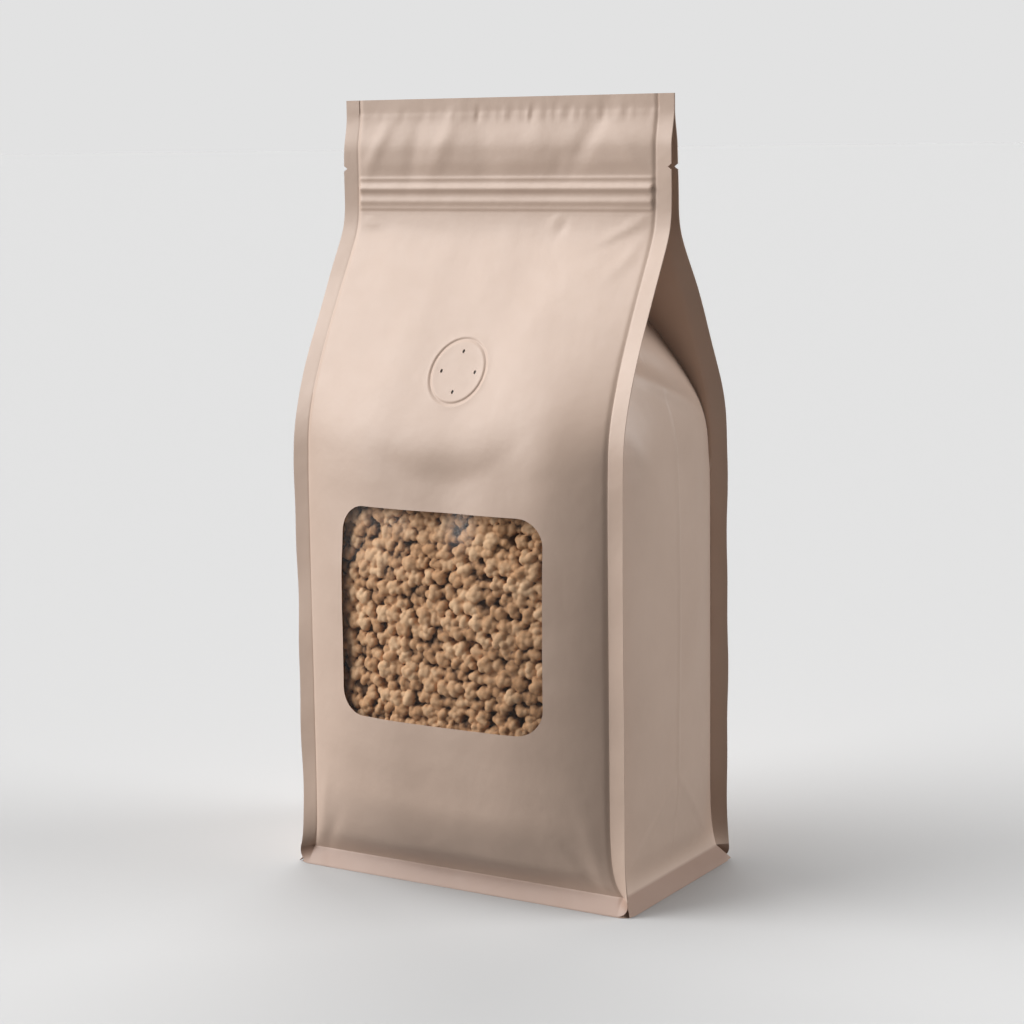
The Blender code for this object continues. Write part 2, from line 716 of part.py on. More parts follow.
def granule_bed():
    """A slab behind the window whose front is a bed of granules."""
    half = WINDOW_WIDTH / 2 + BED_RIM
    tall = WINDOW_TALL + 2 * BED_RIM
    columns = np.linspace(-half, half, int(2 * half / GRANULE_STEP) + 1)
    rows = WINDOW_FOOT - BED_RIM + np.linspace(0, tall, int(tall / GRANULE_STEP) + 1)
    x, z = np.meshgrid(columns, rows)
    near = panel_depth(x, z) - BEHIND_WINDOW - granule_relief(x, z)
    border = np.zeros_like(near, bool)
    border[[0, -1], :] = True
    border[:, [0, -1]] = True
    near = np.where(border, near - 2 * GRANULE_RELIEF, near)
    points = np.stack([x, -near, z], axis=-1)
    mesh = sheet_mesh("granule_bed", points, columns)
    build = bmesh.new()
    build.from_mesh(mesh)
    rim_edges = [edge for edge in build.edges if edge.is_boundary]
    drawn = bmesh.ops.extrude_edge_only(build, edges=rim_edges)
    back = [item for item in drawn["geom"] if isinstance(item, bmesh.types.BMVert)]
    for vertex in back:
        vertex.co.y = -(SIDE_Y - GUSSET_BELLY)
    bmesh.ops.holes_fill(build, edges=[edge for edge in build.edges if edge.is_boundary])
    bmesh.ops.recalc_face_normals(build, faces=build.faces)
    build.to_mesh(mesh)
    build.free()
    return make_cutter("granule_bed_tool", mesh)


def add_granules(material):
    """Contents: one body that fills the bag, with single granules formed at the window."""
    build = bmesh.new()
    rings = []
    for height, drawn_in in fill_levels():
        outline = np.array(fill_outline(height))
        half = np.abs(outline).max(axis=0)
        outline = outline * (half - drawn_in) / half
        rings.append([build.verts.new((x, y, height)) for x, y in outline])
    count = len(rings[0])
    for near, far in zip(rings, rings[1:]):
        for i in range(count):
            build.faces.new((near[i - 1], near[i], far[i], far[i - 1]))
    build.faces.new(reversed(rings[0]))
    build.faces.new(rings[-1])
    bmesh.ops.recalc_face_normals(build, faces=build.faces)
    mesh = bpy.data.meshes.new("granules")
    build.to_mesh(mesh)
    build.free()
    item = add_object("granules", mesh, material)
    use_boolean(item, granule_bed(), "UNION")
    return item


def window_cutter():
    outline = rounded_outline(WINDOW_WIDTH / 2, WINDOW_TALL / 2, WINDOW_CORNER, 6)
    cutter = make_cutter("window_cut", prism_mesh("window_cut", outline, 2 * BELLY))
    turn = Matrix.Rotation(math.radians(90), 4, "X")
    middle = (0, -SIDE_Y + BELLY / 2, (WINDOW_FOOT + WINDOW_TOP) / 2)
    cutter.matrix_world = Matrix.Translation(middle) @ turn
    return cutter


def valve_cutters():
    """Pin holes through the film, and the shallow ring that the weld leaves in it."""
    through = 3 * FILM
    cutters = []
    for index in range(PIN_COUNT):
        angle = 2 * math.pi * index / PIN_COUNT
        build = bmesh.new()
        bmesh.ops.create_cone(build, cap_ends=True, segments=6, radius1=PIN_HOLE / 2,
                              radius2=PIN_HOLE / 2, depth=2 * through)
        mesh = bpy.data.meshes.new("pin_hole")
        build.to_mesh(mesh)
        build.free()
        cutter = make_cutter("pin_hole_" + str(index), mesh)
        place = (PIN_CIRCLE / 2 * math.cos(angle), PIN_CIRCLE / 2 * math.sin(angle), 0)
        cutter.matrix_world = valve_matrix() @ Matrix.Translation(place)
        cutters.append(cutter)
    inner = (EMBOSS_DIAMETER - EMBOSS_WIDTH) / 2
    outer = (EMBOSS_DIAMETER + EMBOSS_WIDTH) / 2
    ring = [(inner, -through), (outer, -through), (outer, EMBOSS_DEPTH), (inner, EMBOSS_DEPTH)]
    cutter = make_cutter("emboss_ring", turned_mesh("emboss_ring", ring, 24))
    cutter.matrix_world = valve_matrix()
    return cutters + [cutter]


def notch_cutter(side):
    """A tear notch through the fins on one side."""
    tip = EDGE_X - NOTCH_DEPTH
    outside = EDGE_X + NOTCH_DEPTH
    outline = [(side * tip, 0), (side * outside, -NOTCH_TALL), (side * outside, NOTCH_TALL)]
    depth = 6 * NECK_HALF_DEPTH
    cutter = make_cutter("notch_" + ("right" if side > 0 else "left"),
                         prism_mesh("notch", outline, depth))
    turn = Matrix.Rotation(math.radians(90), 4, "X")
    cutter.matrix_world = Matrix.Translation((0, depth / 2, NOTCH_HEIGHT)) @ turn
    return cutter


def zip_gap_cutter(side):
    """The gusset is punched away where the zipper runs across it."""
    far = side * (SEAM_X - FILM)
    near = side * (SEAM_X - 2 * SIDE_Y)
    deep = 3 * NECK_HALF_DEPTH
    low = (min(near, far), -deep, ZIP_FOOT - GAP)
    high = (max(near, far), deep, ZIP_TOP + GAP)
    name = "zip_gap_" + ("right" if side > 0 else "left")
    return make_cutter(name, box_mesh(name, low, high))


def build_bag():
    clear_scene()
    front_film = make_material("front_film", FILM_COLOUR, 0.55)
    back_film = make_material("back_film", FILM_COLOUR, 0.55)
    left_film = make_material("left_gusset_film", FILM_COLOUR, 0.55)
    right_film = make_material("right_gusset_film", FILM_COLOUR, 0.55)
    base_film = make_material("base_film", FILM_COLOUR, 0.55)
    clear_film = make_material("clear_film", (0.95, 0.95, 0.95, 1), 0.08, transmission=0.95)
    zip_plastic = make_material("zip_plastic", (0.8, 0.76, 0.72, 1), 0.35)
    valve_plastic = make_material("valve_plastic", (0.85, 0.85, 0.83, 1), 0.4)
    valve_rubber = make_material("valve_rubber", (0.1, 0.1, 0.1, 1), 0.7)
    filter_paper = make_material("filter_paper", (0.85, 0.82, 0.75, 1), 0.9)
    granule = make_material("granule_crumb", (0.27, 0.15, 0.075, 1), 0.8)

    notches = [notch_cutter(-1), notch_cutter(1)]
    add_front(front_film, [window_cutter(), *valve_cutters(), *notches])
    add_back(back_film, notches)
    add_gusset("left_gusset", -1, left_film, [zip_gap_cutter(-1), notches[0]])
    add_gusset("right_gusset", 1, right_film, [zip_gap_cutter(1), notches[1]])
    add_base(base_film)
    add_window_film(clear_film)
    add_zipper(zip_plastic)
    add_valve(valve_plastic, valve_rubber, filter_paper)
    add_granules(granule)


build_bag()
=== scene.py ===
"""The looks of a flat-bottom coffee bag, filled and welded shut, with a window and a valve.

Shapes are worked out in millimetres, in the bag's own frame: the origin is in the middle
of the base, the printed front faces -Y, the side gussets face -X and +X.
"""

import math

import bpy
import numpy as np
from mathutils import Matrix, Vector


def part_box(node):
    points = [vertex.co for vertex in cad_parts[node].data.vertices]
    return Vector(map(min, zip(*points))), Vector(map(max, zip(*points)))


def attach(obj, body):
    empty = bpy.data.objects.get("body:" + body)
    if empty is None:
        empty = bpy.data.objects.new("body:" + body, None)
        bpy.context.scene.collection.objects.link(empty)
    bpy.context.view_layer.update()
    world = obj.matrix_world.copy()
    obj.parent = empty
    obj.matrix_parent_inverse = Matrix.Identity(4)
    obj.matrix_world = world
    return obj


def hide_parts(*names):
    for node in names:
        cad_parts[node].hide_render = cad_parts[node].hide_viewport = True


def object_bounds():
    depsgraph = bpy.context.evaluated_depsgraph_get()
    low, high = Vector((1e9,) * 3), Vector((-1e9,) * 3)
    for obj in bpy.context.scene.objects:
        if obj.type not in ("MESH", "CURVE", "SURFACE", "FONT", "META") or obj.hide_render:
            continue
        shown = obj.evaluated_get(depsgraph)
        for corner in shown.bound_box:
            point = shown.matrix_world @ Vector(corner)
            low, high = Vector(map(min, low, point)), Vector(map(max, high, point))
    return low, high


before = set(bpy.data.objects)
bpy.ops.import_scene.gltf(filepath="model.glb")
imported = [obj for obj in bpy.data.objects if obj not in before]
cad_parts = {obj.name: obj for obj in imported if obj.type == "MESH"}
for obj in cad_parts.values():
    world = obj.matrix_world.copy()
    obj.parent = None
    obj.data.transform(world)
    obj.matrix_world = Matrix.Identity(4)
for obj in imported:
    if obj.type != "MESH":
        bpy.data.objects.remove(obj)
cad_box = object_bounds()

MM = 0.001


# The studio: a level pale floor that runs on to the horizon, and a camera nearly as high
# as the bag, off its right-hand edge.  The light comes from wide soft lamps: a high and a
# low one on the left, a low one on the right, and a low one behind.
CAMERA_PLACE = (412.07, -679.30, 246.06)
CAMERA_YAW = 31.19
CAMERA_PITCH = 8.89
CAMERA_ROLL = -0.8
CAMERA_LENS = 83.65
FLOOR_HALF = 60000
FLOOR_TONE = 0.552
FLOOR_BOUNCE = 0.19
SKY_TONE = 0.76
AMBIENT = 0.03
LAMPS = (
    ("key_softbox", -150, 60, 1.8, 50),
    ("left_softbox", -142, 24, 2.45, 46),
    ("right_softbox", 24, 26, 1.8, 36),
    ("floor_softbox", 118, 16, 3.1, 60))


def add_object(name, data):
    """A new object in the scene, standing at the bag's own origin, unturned."""
    item = bpy.data.objects.new(name, data)
    bpy.context.collection.objects.link(item)
    return item


def mesh_object(name, points, faces):
    """An object with a mesh of its own, from points in mm and lists of point numbers."""
    mesh = bpy.data.meshes.new(name)
    mesh.from_pydata((np.asarray(points) * MM).tolist(), [], faces)
    return add_object(name, mesh)


def spread(tree, value, low, high):
    """A node value from 0 to 1, laid out evenly from low to high."""
    node = tree.nodes.new("ShaderNodeMapRange")
    node.inputs["To Min"].default_value = low
    node.inputs["To Max"].default_value = high
    tree.links.new(value, node.inputs["Value"])
    return node.outputs["Result"]


def add_camera():
    """Right, up and back of the camera as the columns of its turn, rolled about back."""
    yaw, pitch, roll = (math.radians(angle) for angle in (CAMERA_YAW, CAMERA_PITCH, CAMERA_ROLL))
    back = Vector((math.sin(yaw) * math.cos(pitch), -math.cos(yaw) * math.cos(pitch),
                   math.sin(pitch)))
    level = Vector((math.cos(yaw), math.sin(yaw), 0))
    right = level * math.cos(roll) + back.cross(level) * math.sin(roll)
    turn = Matrix((right, back.cross(right), back)).transposed().to_4x4()
    camera = add_object("camera", bpy.data.cameras.new("camera"))
    camera.data.sensor_width = 36
    camera.data.lens = CAMERA_LENS
    camera.data.clip_start = 0.05
    camera.data.clip_end = 200
    camera.matrix_world = Matrix.Translation(Vector(CAMERA_PLACE) * MM) @ turn
    bpy.context.scene.camera = camera


def add_lamp(name, azimuth, elevation, strength, size):
    """A distant lamp, as wide in degrees as its size, with light from one direction."""
    lamp = bpy.data.lights.new(name, "SUN")
    lamp.energy = strength
    lamp.angle = math.radians(size)
    around, up = math.radians(azimuth), math.radians(elevation)
    toward = Vector((math.cos(up) * math.cos(around), math.cos(up) * math.sin(around),
                     math.sin(up)))
    add_object(name, lamp).rotation_euler = toward.to_track_quat("Z", "Y").to_euler()


def light_surroundings():
    """The camera and rays through glass see the backdrop; all else gets a dim even light."""
    world = bpy.data.worlds.new("surroundings")
    world.use_nodes = True
    nodes, links = world.node_tree.nodes, world.node_tree.links
    ambient = nodes["Background"]
    ambient.inputs["Color"].default_value = (1, 1, 1, 1)
    ambient.inputs["Strength"].default_value = AMBIENT
    backdrop = nodes.new("ShaderNodeBackground")
    backdrop.inputs["Color"].default_value = (1, 1, 1, 1)
    backdrop.inputs["Strength"].default_value = SKY_TONE
    rays = nodes.new("ShaderNodeLightPath")
    seen = nodes.new("ShaderNodeMath")
    seen.operation = "MAXIMUM"
    links.new(rays.outputs["Is Camera Ray"], seen.inputs[0])
    links.new(rays.outputs["Is Transmission Ray"], seen.inputs[1])
    choice = nodes.new("ShaderNodeMixShader")
    links.new(seen.outputs[0], choice.inputs[0])
    links.new(ambient.outputs[0], choice.inputs[1])
    links.new(backdrop.outputs[0], choice.inputs[2])
    links.new(choice.outputs[0], nodes["World Output"].inputs["Surface"])
    bpy.context.scene.world = world


def add_floor():
    """Pale to the camera, and darker to all else, so that it throws little light upwards."""
    sides = ((-1, -1), (1, -1), (1, 1), (-1, 1))
    corners = [(x * FLOOR_HALF, y * FLOOR_HALF, 0) for x, y in sides]
    floor = mesh_object("floor", corners, [(0, 1, 2, 3)])
    material = bpy.data.materials.new("floor")
    material.use_nodes = True
    tree = material.node_tree
    shader = tree.nodes["Principled BSDF"]
    rays = tree.nodes.new("ShaderNodeLightPath")
    tone = spread(tree, rays.outputs["Is Camera Ray"], FLOOR_BOUNCE, FLOOR_TONE)
    tree.links.new(tone, shader.inputs["Base Color"])
    shader.inputs["Roughness"].default_value = 0.9
    shader.inputs["Specular IOR Level"].default_value = 0
    floor.data.materials.append(material)


add_camera()
for lamp in LAMPS:
    add_lamp(*lamp)
light_surroundings()
add_floor()
bpy.context.scene.view_settings.view_transform = "Standard"


# The front: one matt printed film, welded to the side gussets along two upright fins and
# to the base film in a lip that flares out.  The contents push it into a belly, and it
# leans in from the shoulder to the zipper, whose tracks show through as ridges.
base_low, base_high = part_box("base_panel")
zip_low, zip_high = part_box("zipper_front_strip")
valve_low, valve_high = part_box("valve_body")
HALF_WIDTH = base_high.x / MM
HALF_DEPTH = base_high.y / MM
HEIGHT = cad_box[1].z / MM
FILM = 0.16
GAP = 0.08
FIN_WIDTH = 5.5
FIN_INSET = 2.1
FIN_FLARE = 0.3
BACK_FLARE = 2.2
FIN_SPLAY = 1.2
FIN_WAVE = 0.25
FIN_WAVE_LENGTHS = (13, 5.1)
SEAM_STEP = 0.3
SEAM_STEP_WIDTH = 1.6
SEAM_GROOVE = 0.08
SEAM_GROOVE_WIDTH = 0.7
SIDE_INSET = 1.5
LIP_HEIGHT = 5.5
LIP_REACH = 4.2
LIP_CORNER = 4.5
PINCH_HEIGHT = 6
BELLY = 12.5
BELLY_POWER = 3.0
NECK_DROP = 42.1
SLOPE_TALL = 64.5
SLOPE_BOW = 2.2
BOW_DROP = 12
SHOULDER_ROUND = 6
NECK_ROUND = 3
NECK_HALF_DEPTH = 2.2
TOP_WELD = 5
TOP_TAPER = 12
FLAP_SWELL = 0.45
ZIP_FOOT = zip_low.z / MM
ZIP_TOP = zip_high.z / MM
ZIP_TRACKS = (3.5, 7.7)
ZIP_RIDGES = (0.36, 0.6)
ZIP_RIDGE_WIDTH = 1.1
ZIP_STRIP = 0.28
ZIP_DIP = 0.2
ZIP_DIP_PLACE = 9.9
CRIMP = 0.11
CRIMP_FLUTES = ((0.68, 1, 0), (1.13, 0.7, 1.3), (0.47, 0.4, 0.4))
WELD_PRESS = 0.15
WAVE = 0.16
WAVE_LENGTHS = (70, 46, 31, 22, 15)
FRONT_SEED = 3
VALVE_HEIGHT = (valve_low.z + valve_high.z) / 2 / MM
VALVE_FLAT = 12
VALVE_BLEND = 24
EMBOSS_RADIUS = 10.0
EMBOSS_WIDTH = 0.45
EMBOSS_DEPTH = 0.3
EMBOSS_SWELL = 0.35
RING_HALF = 16
RING_BLEND = 0.28
PIN_RADIUS = 6.3
PIN_HOLE = 0.45
PIN_TALL = 1.4
PIN_CORNERS = 12
WINDOW_WIDTH = 77
WINDOW_TALL = 70
WINDOW_FOOT = 58
WINDOW_CORNER = 9
WINDOW_CORNER_STEPS = 14
WINDOW_TOP = WINDOW_FOOT + WINDOW_TALL
NOTCH_DROP = 23
NOTCH_TALL = 2.3
NOTCH_DEPTH = 1.2
NOTCH_CUT = (-12, 12)
OPENING_CUT = (-60, -20)
EDGE_X = HALF_WIDTH - FIN_INSET
SEAM_X = EDGE_X - FIN_WIDTH
SIDE_Y = HALF_DEPTH - SIDE_INSET
NECK = HEIGHT - NECK_DROP
SHOULDER = NECK - SLOPE_TALL
LEAN = (SIDE_Y - NECK_HALF_DEPTH) / SLOPE_TALL
LIP_STACK = 2 * FILM + GAP
WELD_HALF_DEPTH = 2 * FILM + 1.5 * GAP
WELD_FOOT = HEIGHT - TOP_WELD
FIN_OFFSET = 2 * FILM + GAP
BELLY_CURVE = ((0, 0), (0.04, 0.42), (0.12, 0.85), (0.26, 1), (0.45, 0.96),
               (0.58, 0.76), (0.79, 0.42), (0.92, 0.18), (1.0, 0.05), (1.08, 0))
FILM_COLOUR = (0.63, 0.464, 0.365, 1)
FILM_SHADE = (0.59, 0.427, 0.332, 1)
# Painted shade: along the lip the film's colour is multiplied by this darker, redder tone.
LIP_PAINTED_SHADE = (0.66, 0.58, 0.55, 1)
FILM_ROUGHNESS = (0.44, 0.56)
FILM_GLOSS = 0.8
FILM_SHEEN = 0.2
CREASE_FADE = 5
FRONT_CREASES = (
    # In the flap above the zipper.
    ((-49, 244), 62, 11, 2.6, 0.45), ((-22, 246), 66, 12, 3.4, 0.5),
    ((-34, 243), 80, 10, 3.0, -0.4), ((-6, 243), 98, 12, 5.0, -0.35),
    ((14, 247), 86, 9, 5.0, 0.3), ((33, 247), 58, 12, 3.4, -0.55),
    ((47, 243), 130, 8, 2.4, 0.3), ((22, 238), 60, 5, 2.2, -0.2),
    # Under the zipper.
    ((47, 216.5), 28, 9, 1.8, 0.55), ((44, 213.5), 26, 8, 1.6, -0.35),
    ((21, 219.5), 40, 2.6, 1.3, 0.25), ((24, 217), 55, 3.2, 1.3, -0.25),
    ((-52, 218.5), -12, 5, 1.2, 0.35), ((-50, 216), -8, 5, 1.1, -0.25),
    ((-30, 219), -4, 12, 1.8, 0.15), ((50, 208), 50, 8, 2.2, 0.3),
    # Over the belly.
    ((4, 142), 97, 26, 15, -1.5), ((37, 148), 100, 32, 11, 1.1),
    ((-30, 160), 84, 30, 14, 0.5), ((30, 195), 60, 26, 10, 0.5),
    # Along the foot and from the bottom corners.
    ((-53, 22), 74, 14, 2.6, 0.4), ((-50, 14), 55, 9, 2.2, -0.35),
    ((52, 24), 104, 15, 2.8, 0.4), ((49, 15), 124, 10, 2.4, -0.35),
    ((54, 9), 148, 3.5, 1.2, 0.35), ((-20, 12), 8, 14, 2.5, 0.18),
    ((18, 13), -6, 16, 2.6, 0.18))


def smooth_curve(points, at):
    """Cubic through the points that never overshoots them, held level beyond both ends."""
    x, y = np.array(points, float).T
    step = np.diff(x)
    slope = np.diff(y) / step
    tangent = np.zeros_like(y)
    rising = slope[:-1] * slope[1:] > 0
    mean = 2 * slope[:-1] * slope[1:] / np.where(rising, slope[:-1] + slope[1:], 1)
    tangent[1:-1] = np.where(rising, mean, 0)
    at = np.clip(at, x[0], x[-1])
    i = np.clip(np.searchsorted(x, at) - 1, 0, len(step) - 1)
    t = (at - x[i]) / step[i]
    return ((1 + 2 * t) * (1 - t) ** 2 * y[i] + t * (1 - t) ** 2 * step[i] * tangent[i]
            + t ** 2 * (3 - 2 * t) * y[i + 1] + t ** 2 * (t - 1) * step[i] * tangent[i + 1])


def soft_step(value):
    """Zero at 0 and below, one at 1 and above, and three t squared less two t cubed between."""
    t = np.clip(value, 0, 1)
    return t * t * (3 - 2 * t)


def soft_ramp(height, start, rounding):
    """Zero below start, then rising one for one: rounding times log(1 + e^(way / rounding))."""
    return rounding * np.logaddexp(0, (height - start) / rounding)


def slope_bow(z):
    """How far the seams bow outwards from below the shoulder to the neck.

    The bow is SLOPE_BOW times 4 t (1 - t) to the power 1.5, where t is the share of the way.
    """
    share = np.clip((z - SHOULDER + BOW_DROP) / (NECK - SHOULDER + BOW_DROP), 0, 1)
    return SLOPE_BOW * (4 * share * (1 - share)) ** 1.5


def lean_in(z):
    """How far the side seams have moved in: a slope from shoulder to neck, bowed outwards."""
    straight = LEAN * (soft_ramp(z, SHOULDER, SHOULDER_ROUND) - soft_ramp(z, NECK, NECK_ROUND))
    return straight - slope_bow(z)


def top_press(z):
    """None below the taper to the top weld, and one from the weld up."""
    return soft_step((z - WELD_FOOT + TOP_TAPER) / TOP_TAPER)


def base_pinch(z):
    """One at the base seam, dying away by a factor e for each PINCH_HEIGHT above it."""
    return np.exp((LIP_HEIGHT - z) / PINCH_HEIGHT)


def seam_place(z):
    """x and |y| of a wall's outer face at the side seam.

    The base pinch moves it out in x and back in |y|, and the top weld closes it up in |y|.
    """
    pinch = base_pinch(z)
    x = SEAM_X + (HALF_WIDTH - LIP_REACH - SEAM_X) * pinch
    y = SIDE_Y - lean_in(z) - (LIP_REACH - SIDE_INSET) * pinch
    return x, y + (WELD_HALF_DEPTH - NECK_HALF_DEPTH) * top_press(z)


def edge_place(z, x_side, y_side):
    """x and |y| of a fin's free edge, with two sine waves in a phase that is each fin's own."""
    pinch = base_pinch(z)
    phase = 1.7 * x_side + 0.9 * y_side
    calm = (1 - pinch) * (1 - top_press(z))
    slow, quick = FIN_WAVE_LENGTHS
    wave = FIN_WAVE * calm * (np.sin(z / slow + phase) + 0.6 * np.sin(z / quick - 2 * phase))
    x = EDGE_X + FIN_SPLAY * pinch + 0.3 * wave
    flare = np.where(y_side > 0, BACK_FLARE * calm * soft_step((NECK + 8 - z) / 30), FIN_FLARE)
    y = SIDE_Y - lean_in(z) + FIN_SPLAY / 2 * pinch + flare * (1 - top_press(z)) + wave
    return x, y + (WELD_HALF_DEPTH - NECK_HALF_DEPTH) * top_press(z)


def body_share(z):
    """The share of the way up from the base seam at 0 to the neck at 1."""
    return (z - LIP_HEIGHT) / (NECK - LIP_HEIGHT)


def panel_depth(x, z):
    """|y| of a wall: its seam's, plus a belly that falls off as |x| to BELLY_POWER.

    The flap over the zipper swells too, and falls off as |x| to the power 10.
    """
    seam_x, seam_y = seam_place(z)
    across = np.clip(np.abs(x) / seam_x, 0, 1)
    belly = BELLY * smooth_curve(BELLY_CURVE, body_share(z)) - slope_bow(z)
    above = soft_step((z - ZIP_TOP) / 5) * (1 - top_press(z))
    flap = FLAP_SWELL * above * (1 - across ** 10)
    return seam_y + belly * (1 - across ** BELLY_POWER) + flap


def ridge_line(x, z, middle, angle, length, width):
    """A soft straight crease: a bell across it, and a longer bell along it."""
    turn = math.radians(angle)
    along = (x - middle[0]) * math.cos(turn) + (z - middle[1]) * math.sin(turn)
    across = (z - middle[1]) * math.cos(turn) - (x - middle[0]) * math.sin(turn)
    return np.exp(-(across / width) ** 2 - (along / length) ** 2)


def soft_creases(x, z, creases):
    """The sum of creases, each a (middle, angle, length, width, height) for a ridge line."""
    return sum(height * ridge_line(x, z, middle, angle, length, width)
               for middle, angle, length, width, height in creases)


def zipper_relief(x, z):
    """The strip's raised plateau with a bell ridge over each track, ending at the seams.

    Over the upper track a bell-shaped dip runs along the strip's top edge.
    """
    seam_x, _ = seam_place(z)
    inside = soft_step((seam_x - np.abs(x)) / SEAM_STEP_WIDTH)
    strip = soft_step((z - ZIP_FOOT - 0.2) / 0.9) * soft_step((ZIP_TOP - 0.2 - z) / 0.7)
    relief = ZIP_STRIP * strip
    for track, height in zip(ZIP_TRACKS, ZIP_RIDGES):
        relief = relief + height * np.exp(-((z - ZIP_FOOT - track) / ZIP_RIDGE_WIDTH) ** 2)
    dip = ZIP_DIP * np.exp(-(z - ZIP_FOOT - ZIP_DIP_PLACE) ** 2)
    return (relief - dip) * inside


def crimp_relief(x, z):
    """Upright flutes under the top weld, where the hot bar gathered the film.

    They are three sine waves across, in a bell-shaped band, and the weld above is pressed in.
    """
    level = z - WELD_FOOT
    band = np.exp(-((level + 0.6) / 2.2) ** 2)
    share = 0.35 + 0.65 * soft_step((x + 35) / 40) * soft_step((60 - x) / 20)
    flutes = sum(height * np.sin(x / width + phase) for width, height, phase in CRIMP_FLUTES)
    return CRIMP * flutes * band * share - WELD_PRESS * soft_step((level + 0.4) / 0.8)


def sine_waves(x, z, lengths, seed):
    """Sine waves, each with a random direction and phase, and as high as it is long."""
    random = np.random.default_rng(seed)
    total = np.zeros_like(x)
    for length in lengths:
        turn, phase = random.uniform(0, 2 * math.pi, 2)
        wave = np.sin((x * math.cos(turn) + z * math.sin(turn)) * 2 * math.pi / length + phase)
        total = total + wave * length / lengths[0]
    return total


def slow_waves(x, z, seed):
    """A wall's unevenness: a few long sine waves that die away at the seams and the zipper."""
    seam_x, _ = seam_place(z)
    calm = soft_step((seam_x - np.abs(x)) / 18) * soft_step((z - LIP_HEIGHT) / 15)
    return WAVE * sine_waves(x, z, WAVE_LENGTHS, seed) * calm * soft_step((ZIP_FOOT - z) / 12)


def valve_plane():
    """Depth of the flat round the valve at its middle, and the slope of that flat.

    They are the mean of the wall's depth a little below and above, and its fall between.
    """
    rise = 10
    low, high = panel_depth(np.zeros(2), np.array([VALVE_HEIGHT - rise, VALVE_HEIGHT + rise]))
    return (low + high) / 2, (low - high) / (2 * rise)


def flatten_for_valve(x, z, depth):
    """The welded valve holds the film flat, blending into the belly round it."""
    middle, slope = valve_plane()
    reach = np.hypot(x, z - VALVE_HEIGHT)
    share = soft_step((VALVE_FLAT + VALVE_BLEND - reach) / VALVE_BLEND)
    return depth + (middle - slope * (z - VALVE_HEIGHT) - depth) * share


def valve_emboss(x, z):
    """A round groove over the valve's rim, with a low swell on either side of it."""
    reach = np.hypot(x, z - VALVE_HEIGHT) - EMBOSS_RADIUS
    groove = np.exp(-(reach / EMBOSS_WIDTH) ** 2)
    swell = np.exp(-((np.abs(reach) - 2.2 * EMBOSS_WIDTH) / EMBOSS_WIDTH) ** 2)
    return EMBOSS_DEPTH * (EMBOSS_SWELL * swell - groove)


def seam_relief(x, z):
    """The wall stands up beside the welded fin, with a fine groove along the weld's edge."""
    seam_x, _ = seam_place(z)
    way = seam_x - np.abs(x)
    step = SEAM_STEP * soft_step(way / SEAM_STEP_WIDTH)
    return step - SEAM_GROOVE * np.exp(-(way / SEAM_GROOVE_WIDTH) ** 2)


def crease_share(x, z):
    """How much of its creases a wall shows: none at the seams, all from CREASE_FADE inwards."""
    seam_x, _ = seam_place(z)
    return soft_step((seam_x - np.abs(x)) / CREASE_FADE)


def front_relief(x, z):
    """All that stands out of the front: zipper, flutes, waves, seams, creases and valve ring."""
    total = zipper_relief(x, z) + crimp_relief(x, z) + slow_waves(x, z, FRONT_SEED)
    total = total + seam_relief(x, z)
    return total + soft_creases(x, z, FRONT_CREASES) * crease_share(x, z) + valve_emboss(x, z)


def wall_points(columns, rows, y_side, relief, warp=None):
    """Outer face of the front (y_side -1) or back (1) on a grid.

    A column runs from -1 to 1 between the seams and on to 2 over a fin.  A row is a
    height above the base seam, or, from 0 down to -1, a share of the base lip.  Where
    fin and lip meet, their square corner is drawn on to a quarter disc.  The relief stands
    on the panel's depth, and a warp moves the grid's lines about before both are found.
    """
    column, row = np.meshgrid(columns, rows)
    x_side = np.sign(column)
    fin = np.clip(np.abs(column) - 1, 0, 1)
    lip = np.clip(-row, 0, 1)
    fin, lip = fin * np.sqrt(1 - lip ** 2 / 2), lip * np.sqrt(1 - fin ** 2 / 2)
    z = LIP_HEIGHT + np.maximum(row, 0)
    seam_x, seam_y = seam_place(z)
    edge_x, edge_y = edge_place(z, x_side, y_side)
    seam_x = seam_x + lip * (HALF_WIDTH - LIP_CORNER - seam_x)
    edge_x = edge_x + lip * (HALF_WIDTH - edge_x)
    x = x_side * (np.clip(np.abs(column), 0, 1) * seam_x + fin * (edge_x - seam_x))
    if warp is not None:
        x, z = warp(x, z)
    depth = panel_depth(x, z)
    if y_side < 0:
        depth = flatten_for_valve(x, z, depth)
    depth = depth + relief(x, z) * (1 - lip)
    depth = np.where(fin > 0, seam_y + fin * (edge_y - seam_y), depth)
    depth = depth + lip * (HALF_DEPTH - depth)
    z = z - lip * (LIP_HEIGHT - LIP_STACK)
    return np.stack([x, y_side * depth, z], axis=-1)


def round_off(x, z):
    """Grid lines near the valve bent from squares into circles, so that its ring is smooth.

    A point at ring r, the larger of its two distances, moves towards the circle of radius r.
    """
    across, up = x / RING_HALF, (z - VALVE_HEIGHT) / RING_HALF
    ring = np.maximum(np.abs(across), np.abs(up))
    circle = soft_step((1 - ring) / RING_BLEND)
    reach = np.maximum(np.hypot(across, up), 1e-9)
    scale = np.where(ring < 1, 1 + circle * (ring / reach - 1), 1)
    return across * scale * RING_HALF, VALVE_HEIGHT + up * scale * RING_HALF


def grid_quads(index):
    """The squares between neighbours on a grid of point numbers, each as its four corners."""
    return np.stack([index[:-1, :-1], index[:-1, 1:], index[1:, 1:], index[1:, :-1]], axis=-1)


